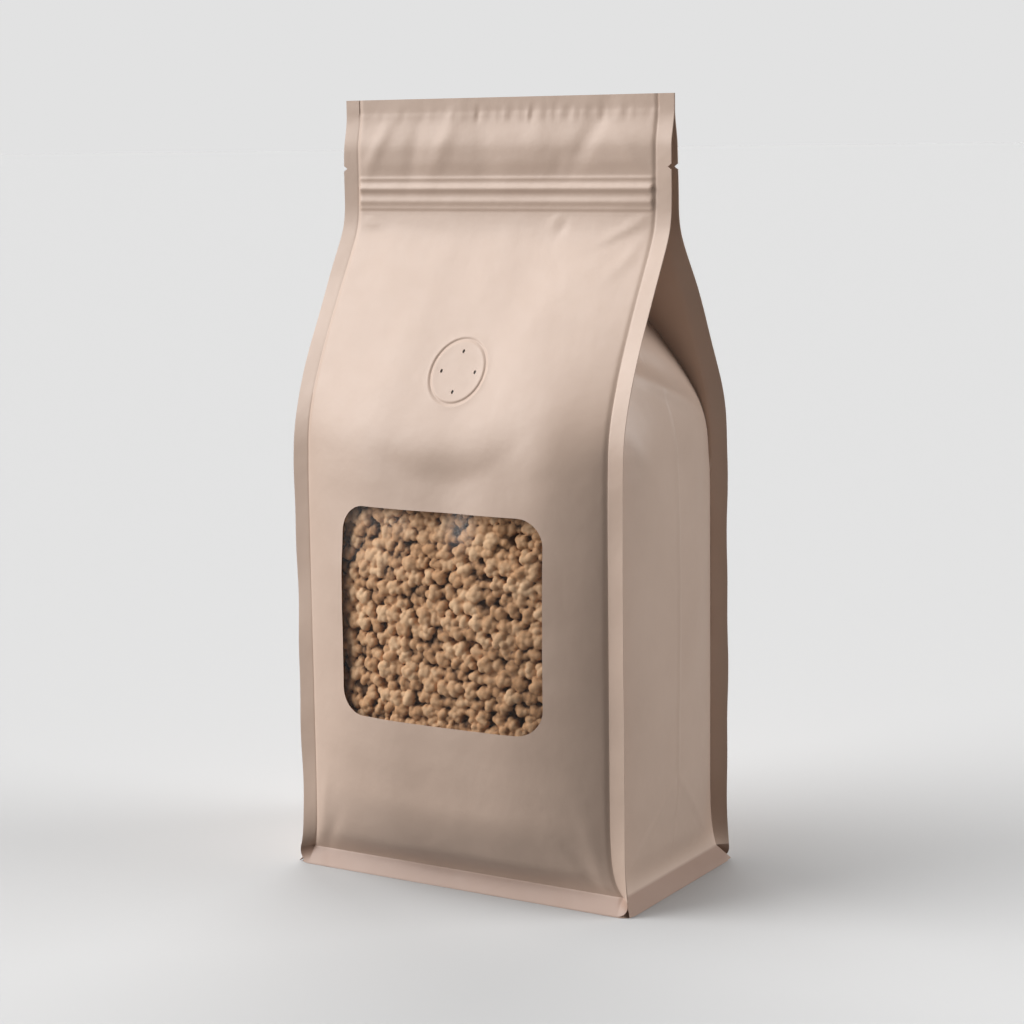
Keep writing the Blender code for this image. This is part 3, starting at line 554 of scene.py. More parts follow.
def sheet_object(name, points, left_out=None):
    """One sheet through a grid of points in mm, facing out where +column turns to +row."""
    quads = grid_quads(np.arange(points.shape[0] * points.shape[1]).reshape(points.shape[:2]))
    quads = quads.reshape(-1, 4) if left_out is None else quads[~left_out]
    used, quads = np.unique(quads, return_inverse=True)
    return mesh_object(name, points.reshape(-1, 3)[used], quads.reshape(-1, 4).tolist())


def thicken(item, thickness):
    """Gives a sheet its thickness on the inner side."""
    wall = item.modifiers.new("thickness", "SOLIDIFY")
    wall.thickness = thickness * MM
    wall.offset = -1
    wall.use_even_offset = True


def cut_away(item, cutter):
    """Takes the cutter's solid out of a piece."""
    cut = item.modifiers.new("cut", "BOOLEAN")
    cut.operation = "DIFFERENCE"
    cut.solver = "EXACT"
    cut.object = cutter


def settle(item, sharp=35):
    """Makes what the modifiers give the piece's own mesh, smooth but for its edges."""
    graph = bpy.context.evaluated_depsgraph_get()
    mesh = bpy.data.meshes.new_from_object(item.evaluated_get(graph))
    item.modifiers.clear()
    item.data = mesh
    mesh.name = item.name
    mesh.shade_smooth()
    mesh.set_sharp_from_angle(angle=math.radians(sharp))


def prism_object(name, outlines, low_y, high_y):
    """Closed prisms from outlines in the XZ plane, drawn along Y; they are only for cutting."""
    points, faces = [], []
    for outline in outlines:
        near = np.arange(len(outline)) + sum(len(part) for part in points)
        far = near + len(outline)
        points += [np.insert(outline, 1, low_y, axis=1), np.insert(outline, 1, high_y, axis=1)]
        sides = np.column_stack([np.roll(near, 1), np.roll(far, 1), far, near])
        faces += [near.tolist(), far[::-1].tolist()] + sides.tolist()
    item = mesh_object(name, np.concatenate(points), faces)
    item.hide_render = True
    return item


def rounded_outline(half_x, half_z, radius, middle_z, steps):
    """Anticlockwise outline of a rounded rectangle: a quarter circle at each corner."""
    turn = np.repeat(np.arange(4), steps + 1) + np.tile(np.linspace(0, 1, steps + 1), 4)
    angle = turn * math.pi / 2
    quarter = np.repeat(np.arange(4), steps + 1)
    x = np.where((quarter == 0) | (quarter == 3), 1, -1) * (half_x - radius)
    z = np.where(quarter < 2, 1, -1) * (half_z - radius)
    return np.stack([x + radius * np.cos(angle), middle_z + z + radius * np.sin(angle)], axis=-1)


def notch_outlines():
    """A small V into the fins on each side, for tearing the bag open."""
    height = HEIGHT - NOTCH_DROP
    outlines = []
    for side in (-1, 1):
        tip, outside = side * (EDGE_X - NOTCH_DEPTH), side * (EDGE_X + 2)
        corners = [(tip, height), (outside, height - NOTCH_TALL), (outside, height + NOTCH_TALL)]
        outlines.append(np.array(corners[::side]))
    return outlines


def pin_outlines():
    """Four narrow slits round the valve's middle, each an ellipse a little taller than wide."""
    turn = np.linspace(0, 2 * math.pi, PIN_CORNERS, endpoint=False)
    slit = np.column_stack([PIN_HOLE * np.cos(turn), PIN_TALL * PIN_HOLE * np.sin(turn)])
    spokes = np.arange(4) * math.pi / 2
    middles = np.column_stack([np.cos(spokes), np.sin(spokes)]) * PIN_RADIUS + (0, VALVE_HEIGHT)
    return [middle + slit for middle in middles]


def noise(tree, place, scale, detail=2, roughness=0.5):
    """Clouds of noise, about scale of them to the metre."""
    cloud = tree.nodes.new("ShaderNodeTexNoise")
    cloud.inputs["Scale"].default_value = scale
    cloud.inputs["Detail"].default_value = detail
    cloud.inputs["Roughness"].default_value = roughness
    tree.links.new(place, cloud.inputs["Vector"])
    return cloud.outputs["Fac"]


def tones(tree, value, *stops):
    """The colour at a value, between stops that are each a place from 0 to 1 and a colour."""
    ramp = tree.nodes.new("ShaderNodeValToRGB")
    ends = ramp.color_ramp.elements
    for end, (place, colour) in zip(ends, (stops[0], stops[-1])):
        end.position = place
        end.color = colour
    for place, colour in stops[1:-1]:
        ends.new(place).color = colour
    tree.links.new(value, ramp.inputs["Fac"])
    return ramp.outputs["Color"]


def bumps(tree, height, strength, distance):
    """Bumps over a surface, up to a distance in metres high."""
    node = tree.nodes.new("ShaderNodeBump")
    node.inputs["Strength"].default_value = strength
    node.inputs["Distance"].default_value = distance
    tree.links.new(height, node.inputs["Height"])
    return node


def film_material(name, seed):
    """Matt printed film: a dusty beige with faint clouding, and a fine soft-touch grain.

    Below the base seam, along the lip, the colour is multiplied darker and a little redder: painted
    shade on the lip.
    """
    material = bpy.data.materials.new(name)
    material.use_nodes = True
    tree = material.node_tree
    shader = tree.nodes["Principled BSDF"]
    place = tree.nodes.new("ShaderNodeTexCoord").outputs["Object"]
    shift = tree.nodes.new("ShaderNodeMapping")
    shift.inputs["Location"].default_value = (seed, 2 * seed, 0)
    tree.links.new(place, shift.inputs["Vector"])
    moved = shift.outputs["Vector"]
    colour = tones(tree, noise(tree, moved, 28, 4, 0.6), (0.3, FILM_SHADE), (0.7, FILM_COLOUR))
    place_z = tree.nodes.new("ShaderNodeSeparateXYZ")
    tree.links.new(place, place_z.inputs[0])
    # Painted shade: below the base seam the film's colour is multiplied darker and redder, so the
    # upturned lip looks less lit.
    lip_shade_mask = tree.nodes.new("ShaderNodeMapRange")
    lip_shade_mask.inputs["From Min"].default_value = (LIP_HEIGHT + 0.3) * MM
    lip_shade_mask.inputs["From Max"].default_value = (LIP_HEIGHT - 0.5) * MM
    tree.links.new(place_z.outputs["Z"], lip_shade_mask.inputs["Value"])
    lip_shading = tree.nodes.new("ShaderNodeMix")
    lip_shading.data_type = "RGBA"
    lip_shading.blend_type = "MULTIPLY"
    lip_shading.inputs["B"].default_value = LIP_PAINTED_SHADE
    tree.links.new(lip_shade_mask.outputs["Result"], lip_shading.inputs["Factor"])
    tree.links.new(colour, lip_shading.inputs["A"])
    tree.links.new(lip_shading.outputs["Result"], shader.inputs["Base Color"])
    matt = spread(tree, noise(tree, moved, 160, 3, 0.6), *FILM_ROUGHNESS)
    tree.links.new(matt, shader.inputs["Roughness"])
    grain = bumps(tree, noise(tree, moved, 5200), 0.12, 0.00005)
    pucker = bumps(tree, noise(tree, moved, 170), 0.35, 0.0004)
    tree.links.new(grain.outputs["Normal"], pucker.inputs["Normal"])
    tree.links.new(pucker.outputs["Normal"], shader.inputs["Normal"])
    shader.inputs["Specular IOR Level"].default_value = FILM_GLOSS
    shader.inputs["Sheen Weight"].default_value = FILM_SHEEN
    shader.inputs["Sheen Roughness"].default_value = 0.5
    return material


def mirrored(half):
    """The values from the middle outwards, with their negatives before them."""
    return np.concatenate([-half[:0:-1], half])


def front_columns():
    """Close together over the valve's ring, 1 mm apart to the seam, then over the fin."""
    ring = np.concatenate([np.linspace(0, 8.8, 9), np.linspace(9.1, 11.2, 14),
                           np.linspace(11.8, RING_HALF, 5)])
    rest = np.concatenate([np.linspace(RING_HALF, SEAM_X - 2.2, 39)[1:],
                           SEAM_X - np.array([1.6, 1.15, 0.8, 0.5, 0.25, 0])])
    fin = 1 + np.array([0.05, 0.12, 0.3, 0.55, 0.8, 1])
    return mirrored(np.concatenate([ring / SEAM_X, rest / SEAM_X, fin]))


def wall_rows(extra=()):
    """Lip rows, then heights: fine at the base, the zipper, the top weld and where asked."""
    heights = np.concatenate([
        np.linspace(LIP_HEIGHT, 12, 10), np.arange(13.2, ZIP_FOOT - 2, 1.45),
        np.arange(ZIP_FOOT - 1.5, ZIP_TOP + 1, 0.42), np.arange(ZIP_TOP + 2, WELD_FOOT - 4, 1.2),
        np.linspace(WELD_FOOT - 4, HEIGHT, 14)])
    if len(extra):
        heights = heights[(heights < min(extra) - 0.5) | (heights > max(extra) + 0.5)]
        heights = np.sort(np.concatenate([heights, extra]))
    lip = np.array([-1, -0.9, -0.75, -0.6, -0.45, -0.3, -0.15])
    return np.concatenate([lip, heights - LIP_HEIGHT])


def front_rows():
    """The wall's rows, with the columns' own spacing turned upright over the valve's ring."""
    ring = front_columns() * SEAM_X
    return wall_rows(VALVE_HEIGHT + ring[np.abs(ring) < RING_HALF + 0.01])


notches = prism_object("notch_cut", notch_outlines(), *NOTCH_CUT)
openings = [rounded_outline(WINDOW_WIDTH / 2, WINDOW_TALL / 2, WINDOW_CORNER,
                            WINDOW_FOOT + WINDOW_TALL / 2, WINDOW_CORNER_STEPS),
            *pin_outlines()]
front_cut = prism_object("front_cut", openings, *OPENING_CUT)
front = sheet_object("front_film", wall_points(front_columns(), front_rows(), -1,
                                               front_relief, round_off))
thicken(front, FILM)
cut_away(front, front_cut)
cut_away(front, notches)
settle(front)
front.data.materials.append(film_material("front_film", 0))
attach(front, "root")
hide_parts("front_panel")
bpy.data.objects.remove(front_cut)


# The back: the same film as the front, welded to the gussets and the base in the same fins
# and lip, with no window and no valve.
BACK_SEED = 11
BACK_CREASES = (
    ((-36, 245), 96, 9, 3.0, 0.4), ((-8, 245), 82, 10, 4.0, -0.4), ((25, 244), 104, 10, 3.4, 0.4),
    ((-45, 214), 152, 8, 1.8, 0.4), ((46, 214), 30, 8, 1.8, 0.4), ((6, 216), 3, 14, 2.2, 0.2),
    ((-51, 22), 76, 14, 2.6, 0.4), ((52, 21), 106, 14, 2.6, 0.4), ((-47, 13), 52, 9, 2.2, -0.3),
    ((47, 13), 128, 9, 2.2, -0.3), ((0, 12), 2, 20, 2.6, 0.15))


def back_relief(x, z):
    """Zipper ridges, flutes, slow waves, and the back's own soft creases."""
    total = zipper_relief(x, z) + crimp_relief(-x, z) + slow_waves(x, z, BACK_SEED)
    return total + soft_creases(x, z, BACK_CREASES) * crease_share(x, z)


def back_columns():
    """Evenly spaced between the seams, and over each fin."""
    inner = np.linspace(0, 1, 56)
    return mirrored(np.concatenate([inner, np.linspace(1, 2, 6)[1:]]))


back = sheet_object("back_film", wall_points(back_columns(), wall_rows(), 1, back_relief)[:, ::-1])
thicken(back, FILM)
cut_away(back, notches)
settle(back)
back.data.materials.append(film_material("back_film", 1))
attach(back, "root")
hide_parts("back_panel")


# The side gussets: the same film, flat and slightly bulged up to the shoulder, and folded
# in above it between the front and the back.  Each keeps a faint crease down its middle,
# and two that run from it to the bottom corners, from lying folded before it was filled.
GUSSET_BELLY = 6.5
GUSSET_CURVE = ((0, 0), (0.05, 0.5), (0.15, 0.9), (0.35, 1), (0.65, 1), (0.76, 0.8),
                (0.88, 0.2), (1.0, 0))
CREASE_COLUMN = 0.9
FOLD_FOOT = 38
FOLD_LINE = 0.32
FOLD_SLANT = 0.3
FOLD_WIDTH = 0.8
LIP_END = 0.8
GUSSET_WAVE = 0.2
GUSSET_WAVE_LENGTHS = (60, 37, 24, 15)
GUSSET_PULLS = (((20, 147), 70, 16, 5, 0.8), ((8, 150), 68, 14, 5, -0.7),
                ((-22, 150), 120, 13, 4, 0.5))
GUSSET_PUCKER = (((1, 166), -23, 24, 2.6, 1.4), ((3, 173), -23, 24, 4, -1.5))


def fin_normal(z, x_side, y_side):
    """Level direction, in x and |y|, from the wall's fin to the inside of the bag."""
    seam_x, seam_y = seam_place(z)
    edge_x, edge_y = edge_place(z, x_side, y_side)
    along = np.hypot(edge_x - seam_x, edge_y - seam_y)
    return (edge_y - seam_y) / along, (edge_x - seam_x) / along


def gusset_relief(y, z, seed):
    """Old fold lines as fine ridges, slow waves, and a slanting pucker over the shoulder.

    A ridge falls off as e^-(way / FOLD_WIDTH)^1.5.  One runs up the middle, and two slant
    down from its foot to the corners.
    """
    full = soft_step((SHOULDER + 8 - z) / 20)
    middle = np.exp(-np.abs(y / FOLD_WIDTH) ** 1.5) * soft_step((z - FOLD_FOOT) / 4)
    side = (np.abs(y) - (FOLD_FOOT - z) * 1.05) * 0.7
    slant = np.exp(-np.abs(side / FOLD_WIDTH) ** 1.5) * soft_step((FOLD_FOOT - z) / 3)
    line = FOLD_LINE * middle + FOLD_SLANT * slant
    waves = GUSSET_WAVE * sine_waves(y, z, GUSSET_WAVE_LENGTHS, seed)
    calm = soft_step((SIDE_Y - np.abs(y)) / 14) * soft_step((z - LIP_HEIGHT) / 14)
    pull = soft_creases(y, z, GUSSET_PULLS)
    _, seam_y = seam_place(z)
    pucker = soft_creases(y, z, GUSSET_PUCKER) * soft_step((seam_y - np.abs(y) - 2) / 9)
    return (waves + line + pull) * calm * full + pucker


def gusset_points(columns, rows, x_side, seed):
    """Outer face of a gusset on a grid, with x counted away from the middle of the bag.

    Going in from a seam, the film lies along the inside of the front or back for as far
    as the seams have leant in, and then crosses to the other side.  The columns at
    CREASE_COLUMN follow the crease between the two.
    """
    column, row = np.meshgrid(columns, rows)
    y_side = np.sign(column)
    fin = np.clip(np.abs(column) - 1, 0, 1)
    lip = np.clip(-row, 0, 1)
    z = LIP_HEIGHT + np.maximum(row, 0)
    seam_x, seam_y = seam_place(z)
    edge_x, edge_y = edge_place(z, x_side, y_side)
    normal_x, normal_y = fin_normal(z, x_side, y_side)
    seam_x = seam_x + normal_x * FIN_OFFSET
    edge_x = edge_x + normal_x * FIN_OFFSET
    seam_y = seam_y - normal_y * FIN_OFFSET
    edge_y = edge_y - normal_y * FIN_OFFSET
    folded = lean_in(z)
    half_web = folded + seam_y
    crease = np.maximum(folded, (1 - CREASE_COLUMN) * half_web)
    reach = np.clip(np.abs(column), 0, 1)
    along = np.where(reach > CREASE_COLUMN, (1 - reach) / (1 - CREASE_COLUMN) * crease,
                     half_web - reach / CREASE_COLUMN * (half_web - crease))
    ear = np.minimum(along, folded)
    y = seam_y - (along - ear)
    bulge = GUSSET_BELLY * smooth_curve(GUSSET_CURVE, body_share(z))
    x = seam_x - ear + bulge * (1 - np.abs(y / seam_y) ** BELLY_POWER)
    x = x + gusset_relief(y_side * y, z, seed) * (1 - lip)
    x = np.where(fin > 0, seam_x + fin * (edge_x - seam_x), x)
    y = np.where(fin > 0, seam_y + fin * (edge_y - seam_y), y)
    x = x + lip * (HALF_WIDTH - x)
    y = y * (1 + lip * (HALF_DEPTH - LIP_END - seam_y) / seam_y)
    z = z - lip * (LIP_HEIGHT - LIP_STACK)
    return np.stack([x, y_side * y, z], axis=-1)


def gusset_columns():
    """Fine at the middle crease and in the folds under the shoulder, then over each fin."""
    web = np.concatenate([np.linspace(0, 0.06, 5), np.linspace(0.06, CREASE_COLUMN, 34)[1:]])
    ear = np.linspace(CREASE_COLUMN, 1, 12)[1:]
    return mirrored(np.concatenate([web, ear, np.linspace(1, 2, 6)[1:]]))


for name, x_side, node, seed in (("left_gusset_film", -1, "left_gusset", 21),
                                 ("right_gusset_film", 1, "right_gusset", 22)):
    columns = gusset_columns()
    points = gusset_points(columns, wall_rows(), x_side, seed)
    in_lip = wall_rows()[:-1] < 0
    in_fin = np.abs(columns[1:] + columns[:-1]) > 2
    if x_side < 0:
        points = points[:, ::-1] * (-1, 1, 1)
    gusset = sheet_object(name, points, in_lip[:, None] & in_fin[None, :])
    thicken(gusset, FILM)
    cut_away(gusset, notches)
    settle(gusset)
    gusset.data.materials.append(film_material(name, seed))
    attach(gusset, "root")
    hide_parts(node)
bpy.data.objects.remove(notches)


# The base: one more sheet of the film.  It lies flat under the bag, runs up to the base
# seam inside the walls, and is folded out there into the underside of the lip, where it
# is welded.
BASE_TUCK = 5
BASE_CORNER = 1.2
BASE_CORNER_STEPS = 8


def base_points():
    """Rings of the base film from the lip's edge inwards: (inset, height) carried round.

    The height rises straight to a ridge at LIP_REACH, and falls by a smooth step inside it.
    """
    inset = np.concatenate([np.linspace(0, LIP_REACH, 8),
                            LIP_REACH + np.linspace(0.3, BASE_TUCK, 9)])
    ridge = LIP_HEIGHT - LIP_STACK
    out = np.clip(inset / LIP_REACH, 0, 1)
    fall = np.clip((inset - LIP_REACH) / BASE_TUCK, 0, 1)
    height = np.where(inset <= LIP_REACH, ridge * out, ridge * (1 - soft_step(fall)))
    rings = []
    for way, level in zip(inset, height):
        radius = max(LIP_CORNER - way, BASE_CORNER)
        ring = rounded_outline(HALF_WIDTH - way, HALF_DEPTH - way, radius, 0, BASE_CORNER_STEPS)
        rings.append(np.column_stack([ring, np.full(len(ring), level)]))
    return np.array(rings)


def ring_quads(rings):
    """Point numbers of rings of points, and the squares that join each ring to the next."""
    index = np.arange(rings.shape[0] * rings.shape[1]).reshape(rings.shape[:2])
    turned = np.roll(index, -1, axis=1)
    quads = np.stack([index[:-1], turned[:-1], turned[1:], index[1:]], axis=-1)
    return index, quads.reshape(-1, 4)


def add_base():
    """The rings joined all round, closed in the middle, and facing down."""
    rings = base_points()
    index, quads = ring_quads(rings)
    faces = quads[:, [0, 3, 2, 1]].tolist() + [index[-1, ::-1].tolist()]
    return mesh_object("base_film", rings.reshape(-1, 3), faces)


base = add_base()
thicken(base, FILM)
settle(base)
base.data.materials.append(film_material("base_film", 5))
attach(base, "root")
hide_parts("base_panel")


# The window: a clear glossy film, cut a little larger than the opening in the front and
# welded to the inside of the front all round it.
WINDOW_WELD = 6
WINDOW_FILM = 0.1
WINDOW_ROUGHNESS = 0.12
WINDOW_GLOSS = 0.025


def window_points():
    """The front film's own surface over the opening and its weld, moved in by one film."""
    columns = np.linspace(-1, 1, 60) * (WINDOW_WIDTH / 2 + WINDOW_WELD) / SEAM_X
    rows = np.linspace(WINDOW_FOOT - WINDOW_WELD, WINDOW_TOP + WINDOW_WELD, 56)
    points = wall_points(columns, rows - LIP_HEIGHT, -1, front_relief)
    normal = np.cross(np.gradient(points, axis=1), np.gradient(points, axis=0))
    normal /= np.linalg.norm(normal, axis=-1, keepdims=True)
    return points - normal * (FILM + GAP)


def clear_material():
    """Clear film: what is behind shows, under a gloss that grows to the edge by Schlick's rule.

    Seen at an angle of cosine c, the share that is gloss is g + (1 - g) (1 - c) ^ 5.
    """
    material = bpy.data.materials.new("clear_film")
    material.use_nodes = True
    tree = material.node_tree
    gloss = tree.nodes["Principled BSDF"]
    gloss.inputs["Base Color"].default_value = (0.9, 0.9, 0.9, 1)
    gloss.inputs["Metallic"].default_value = 1
    place = tree.nodes.new("ShaderNodeTexCoord").outputs["Object"]
    blur = spread(tree, noise(tree, place, 60), WINDOW_ROUGHNESS, 2 * WINDOW_ROUGHNESS)
    tree.links.new(blur, gloss.inputs["Roughness"])
    clear = tree.nodes.new("ShaderNodeBsdfTransparent")
    clear.inputs["Color"].default_value = (0.96, 0.96, 0.95, 1)
    facing = tree.nodes.new("ShaderNodeLayerWeight")
    facing.inputs["Blend"].default_value = 0.5
    fifth = tree.nodes.new("ShaderNodeMath")
    fifth.operation = "POWER"
    fifth.inputs[1].default_value = 5
    tree.links.new(facing.outputs["Facing"], fifth.inputs[0])
    blend = tree.nodes.new("ShaderNodeMixShader")
    tree.links.new(spread(tree, fifth.outputs[0], WINDOW_GLOSS, 1), blend.inputs[0])
    tree.links.new(clear.outputs[0], blend.inputs[1])
    tree.links.new(gloss.outputs[0], blend.inputs[2])
    tree.links.new(blend.outputs[0], tree.nodes["Material Output"].inputs["Surface"])
    return material


window = sheet_object("window_clear", window_points())
thicken(window, WINDOW_FILM)
settle(window)
window.data.materials.append(clear_material())
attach(window, "root")
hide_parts("window_film")


# The contents: dry crumbs like popped grain, 4 to 7 mm, packed loosely.  Only those
# behind the window are formed one by one; the rest is the body of the fill.
FILL_RISE = 4.6
FILL_CLEARANCE = 1.6
FILL_CORNER = 4
CRUMB = 5.2
CRUMB_HALF = (0.36, 0.56)
CRUMB_SLIM = (0.6, 0.95)
CRUMB_LAYERS = 3
CRUMB_LIFT = (0.55, 1)
CRUMB_SCATTER = 0.8
CRUMB_RELIEF = 3.0
CRUMB_SUNK = 2.6
CRUMB_BACK = 7.5
# Painted shade: crumbs and gaps that lie deeper get a darker brown.
CRUMB_PAINTED_SHADE = 1.6
CRUMB_PAINTED_SHADE_FROM = 0.9
CRUMB_PAINTED_SHADE_DEEP = 2.6
CRUMB_STEP = 0.36
CRUMB_SEED = 7
BED_HALF = 47
BED_RIM = 8
LOBE_RADIUS = (1.25, 2.0)
LOBE_BLEND = 0.18
LOBE_COUNT = (5, 8)
LOBE_FALL = 0.16
LOBE_DROP = 0.45
CRUMB_DARK = (0.10, 0.045, 0.02, 1)
CRUMB_BROWN = (0.68, 0.375, 0.195, 1)
CRUMB_PALE = (1.0, 0.67, 0.42, 1)
BEHIND_WINDOW = FILM + GAP + WINDOW_FILM + FILL_CLEARANCE


def crumb_layout(random):
    """Middles of crumbs on a loose close-packed grid, and the share of the relief of each."""
    half = WINDOW_WIDTH / 2 + 2 * CRUMB
    across = np.arange(-half, half, CRUMB)
    upward = np.arange(WINDOW_FOOT - 2 * CRUMB, WINDOW_TOP + 2 * CRUMB, CRUMB * math.sqrt(3) / 2)
    middle_x, middle_z = np.meshgrid(across, upward)
    middle_x = middle_x + CRUMB / 2 * (np.arange(len(upward))[:, None] % 2)
    middle_x = middle_x + random.uniform(-CRUMB_SCATTER, CRUMB_SCATTER, middle_x.shape)
    middle_z = middle_z + random.uniform(-CRUMB_SCATTER, CRUMB_SCATTER, middle_z.shape)
    lift = random.uniform(*CRUMB_LIFT, middle_x.size)
    return middle_x.ravel(), middle_z.ravel(), lift


def lay_crumb(height, tone, x, z, middle, top, random):
    """Lays one crumb on the bed: a handful of balls, their tops falling off as way squared.

    A ball's surface is its top less its radius, plus the root of radius squared less
    distance squared.  The balls are joined by LOBE_BLEND times log of the sum of
    e^(height / LOBE_BLEND), and what stands highest of the crumb and the bed is kept.
    """
    half_long = CRUMB * random.uniform(*CRUMB_HALF)
    half_wide = half_long * random.uniform(*CRUMB_SLIM)
    count = random.integers(*LOBE_COUNT)
    spin, shade = random.uniform(0, 2 * math.pi), random.uniform(0, 1)
    turn = 2 * math.pi * np.arange(count) / (count - 1) + random.uniform(-0.4, 0.4, count)
    way = random.uniform(0.6, 1.0, count)
    way[0] = 0.15
    along, wide = way * half_long * np.cos(turn), way * half_wide * np.sin(turn)
    ball_x = middle[0] + along * math.cos(spin) - wide * math.sin(spin)
    ball_z = middle[1] + along * math.sin(spin) + wide * math.cos(spin)
    radius = random.uniform(*LOBE_RADIUS, count)
    fall = LOBE_FALL * (along ** 2 + wide ** 2)
    ball_top = top - fall - random.uniform(0, LOBE_DROP, count)
    reach = half_long + LOBE_RADIUS[1]
    columns = np.flatnonzero(np.abs(x[0] - middle[0]) < reach)
    rows = np.flatnonzero(np.abs(z[:, 0] - middle[1]) < reach)
    if not len(columns) or not len(rows):
        return
    patch = np.ix_(rows, columns)
    span_x, span_z = x[patch][..., None], z[patch][..., None]
    room = radius ** 2 - (span_x - ball_x) ** 2 - (span_z - ball_z) ** 2
    ball = np.where(room > 0, ball_top - radius + np.sqrt(np.maximum(room, 0)), -99)
    crumb = LOBE_BLEND * np.log(np.exp(ball / LOBE_BLEND).sum(axis=-1) + 1e-300)
    higher = crumb > height[patch]
    height[patch] = np.where(higher, crumb, height[patch])
    tone[patch] = np.where(higher, shade, tone[patch])


def crumb_field(x, z):
    """Height, below the window's inner face, and tone of a bed of crumbs seen from the front.

    The tone is each crumb's own, less up to CRUMB_PAINTED_SHADE as a smooth step of the depth:
    painted shade on the crumbs that lie deeper.
    The layers lie one behind another, each shifted by half a crumb.
    """
    height = np.full(x.shape, -CRUMB_BACK)
    tone = np.zeros(x.shape)
    random = np.random.default_rng(CRUMB_SEED)
    middle_x, middle_z, lift = crumb_layout(random)
    for layer in range(CRUMB_LAYERS):
        shift = layer * CRUMB / 2
        for place_x, place_z, share in zip(middle_x + shift, middle_z - shift / 2, lift):
            top = CRUMB_RELIEF * (share - 1) - layer * CRUMB_SUNK
            lay_crumb(height, tone, x, z, (place_x, place_z), top, random)
    # Painted shade: the tone falls where the crumbs lie deeper behind the window.
    return height, tone - CRUMB_PAINTED_SHADE * soft_step((-CRUMB_PAINTED_SHADE_FROM - height) / CRUMB_PAINTED_SHADE_DEEP)


def bed_object():
    """The bed of crumbs behind the window, as a slab that is closed behind and all round.

    Its depth is the front's own, less BEHIND_WINDOW, plus the height of the crumbs.
    """
    columns = np.arange(-BED_HALF, BED_HALF, CRUMB_STEP)
    rows = np.arange(WINDOW_FOOT - BED_RIM, WINDOW_TOP + BED_RIM, CRUMB_STEP)
    x, z = np.meshgrid(columns, rows)
    height, tone = crumb_field(x, z)
    depth = panel_depth(x, z) + front_relief(x, z) - BEHIND_WINDOW + height
    points = np.stack([x, -depth, z], axis=-1).reshape(-1, 3)
    index = np.arange(x.size).reshape(x.shape)
    edge = np.concatenate([index[0, :-1], index[:-1, -1], index[-1, :0:-1], index[:0:-1, 0]])
    rim = points[edge]
    rim[:, 1] = -(SIDE_Y - GUSSET_BELLY)
    behind = x.size + np.arange(len(edge))
    sides = np.stack([edge, behind, np.roll(behind, -1), np.roll(edge, -1)], axis=-1)
    faces = grid_quads(index).reshape(-1, 4).tolist() + sides.tolist() + [behind[::-1].tolist()]
    item = mesh_object("crumb_bed", np.concatenate([points, rim]), faces)
    # The tone holds each crumb's own brown and the painted shade of the deeper crumbs.
    shade = item.data.attributes.new("crumb_tone_and_shade", "FLOAT", "POINT")
    values = np.concatenate([tone.ravel(), tone.ravel()[edge]])
    shade.data.foreach_set("value", values.astype(np.float32))
    return item


def fill_outline(z):
    """Plan of the fill at one height: the four walls' inner faces, less the clearance."""
    seam_x, seam_y = seam_place(z)
    folded = lean_in(z)
    skin = FILM + FILL_CLEARANCE
    bulge = GUSSET_BELLY * smooth_curve(GUSSET_CURVE, body_share(z))
    half = seam_x - folded - skin - FILL_CORNER
    x = np.linspace(-1, 1, 17) * half
    y = panel_depth(x, z) - BEHIND_WINDOW
    side_y = np.linspace(-1, 1, 11) * (seam_y - FIN_OFFSET - FILL_CORNER)
    side_x = seam_x - folded + bulge * (1 - np.abs(side_y / seam_y) ** BELLY_POWER) - skin
    front_part = np.column_stack([x, CRUMB_BACK - y])
    right_part = np.column_stack([side_x, side_y])
    return np.concatenate([front_part, right_part, np.column_stack([-x, y]), -right_part])


def fill_object():
    """Rings of the fill's plan from the base film to its level top, joined and closed."""
    top = SHOULDER + FILL_RISE
    levels = [(FILM + GAP, LIP_REACH + BASE_TUCK), (LIP_HEIGHT + FILM, LIP_REACH - SIDE_INSET)]
    levels += [(height, 0) for height in np.linspace(LIP_HEIGHT + 6, top - FILL_CORNER, 20)]
    levels += [(top, FILL_CORNER)]
    rings = []
    for height, drawn_in in levels:
        outline = fill_outline(height)
        half = np.abs(outline).max(axis=0)
        outline = outline * (half - drawn_in) / half
        rings.append(np.column_stack([outline, np.full(len(outline), height)]))
    rings = np.array(rings)
    index, quads = ring_quads(rings)
    faces = quads.tolist() + [index[0, ::-1].tolist(), index[-1].tolist()]
    item = mesh_object("fill_body", rings.reshape(-1, 3), faces)
    item.hide_render = True
    return item


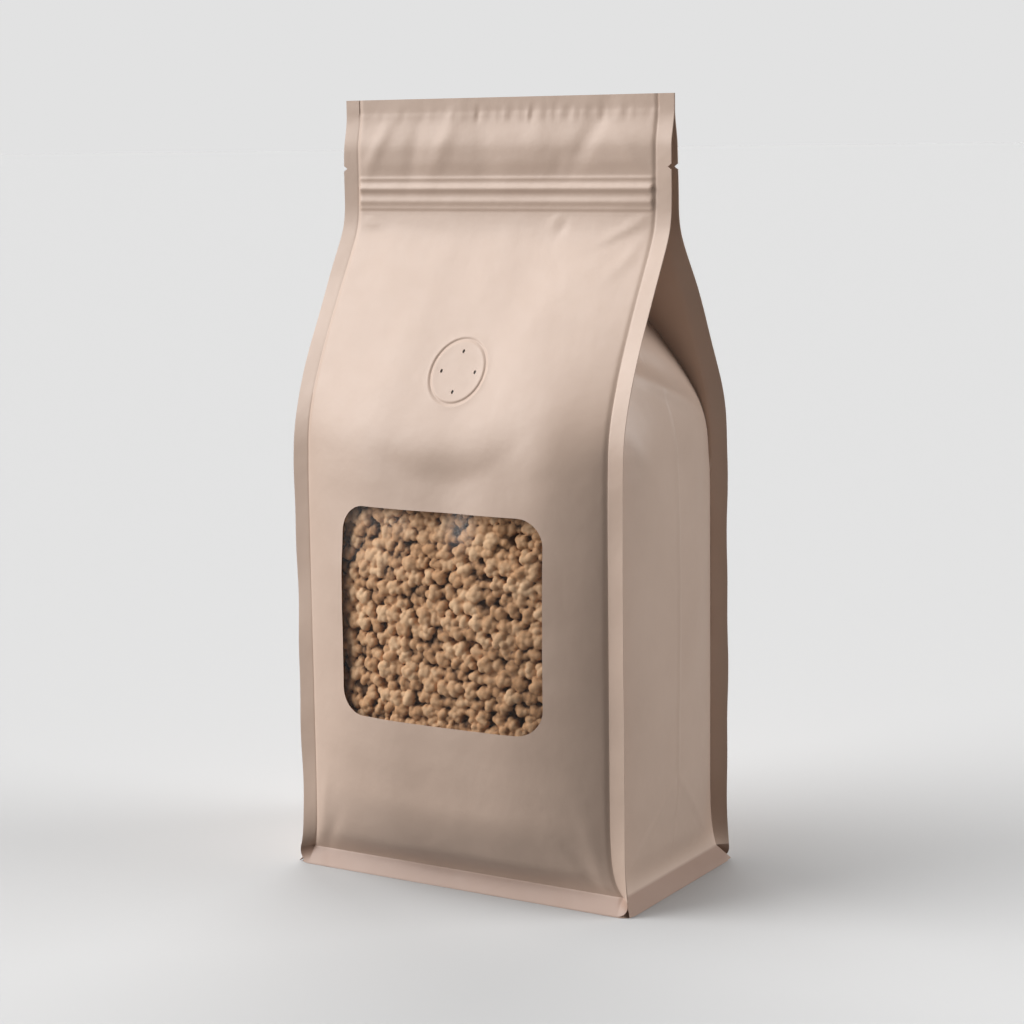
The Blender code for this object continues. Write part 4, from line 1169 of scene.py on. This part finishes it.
def crumb_material():
    """Toasted crumb: each its own brown, with painted shade on the deeper-lying crumbs and gaps, and
    a rough, floury skin.
    """
    material = bpy.data.materials.new("granule_crumb")
    material.use_nodes = True
    tree = material.node_tree
    shader = tree.nodes["Principled BSDF"]
    place = tree.nodes.new("ShaderNodeTexCoord").outputs["Object"]
    tone = tree.nodes.new("ShaderNodeAttribute")
    tone.attribute_name = "crumb_tone_and_shade"
    scaled = tree.nodes.new("ShaderNodeMath")
    scaled.operation = "MULTIPLY"
    scaled.inputs[1].default_value = 0.4
    tree.links.new(tone.outputs["Fac"], scaled.inputs[0])
    mix = tree.nodes.new("ShaderNodeMath")
    mix.operation = "MULTIPLY_ADD"
    mix.inputs[1].default_value = 0.75
    tree.links.new(noise(tree, place, 420, 5), mix.inputs[0])
    tree.links.new(scaled.outputs[0], mix.inputs[2])
    brown = tones(tree, mix.outputs[0], (0, CRUMB_DARK), (0.35, CRUMB_BROWN), (0.85, CRUMB_PALE))
    tree.links.new(brown, shader.inputs["Base Color"])
    shader.inputs["Roughness"].default_value = 0.7
    shader.inputs["Specular IOR Level"].default_value = 0.3
    skin = bumps(tree, noise(tree, place, 1900, 4), 0.5, 0.0003)
    tree.links.new(skin.outputs["Normal"], shader.inputs["Normal"])
    return material


granules = bed_object()
fill = fill_object()
join = granules.modifiers.new("fill", "BOOLEAN")
join.operation = "UNION"
join.solver = "EXACT"
join.object = fill
settle(granules, sharp=180)
granules.data.materials.append(crumb_material())
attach(granules, "root")
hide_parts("granules")
bpy.data.objects.remove(fill)


# The zipper and the valve are moulded pieces welded inside the bag, which show only at the
# pin holes and, from the side, between the fins.  They keep their own shapes, and get the
# plastics, rubber and paper that they are made of.
def moulded_material(name, light, dark, roughness, grain_scale, grain):
    """A plain moulded or pressed stuff: faint clouding between two tones, and a fine grain."""
    material = bpy.data.materials.new(name)
    material.use_nodes = True
    tree = material.node_tree
    shader = tree.nodes["Principled BSDF"]
    place = tree.nodes.new("ShaderNodeTexCoord").outputs["Object"]
    colour = tones(tree, noise(tree, place, 180, 4), (0, dark), (1, light))
    tree.links.new(colour, shader.inputs["Base Color"])
    fine = bumps(tree, noise(tree, place, grain_scale), grain, 0.0001)
    tree.links.new(fine.outputs["Normal"], shader.inputs["Normal"])
    shader.inputs["Roughness"].default_value = roughness
    return material


STUFFS = (
    (("zipper_front_strip", "zipper_back_strip"),
     moulded_material("zip_plastic", (0.80, 0.76, 0.71, 1), (0.72, 0.68, 0.63, 1), 0.35, 2500, 0.1)),
    (("valve_body", "valve_cover"),
     moulded_material("valve_plastic", (0.84, 0.84, 0.82, 1), (0.76, 0.76, 0.74, 1), 0.4, 2500, 0.1)),
    (("valve_disc",),
     moulded_material("valve_rubber", (0.12, 0.12, 0.12, 1), (0.07, 0.07, 0.07, 1), 0.7, 3000, 0.2)),
    (("valve_filter",),
     moulded_material("filter_paper", (0.86, 0.83, 0.76, 1), (0.74, 0.70, 0.62, 1), 0.9, 1500, 0.5)))
for names, stuff in STUFFS:
    for name in names:
        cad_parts[name].material_slots[0].material = stuff
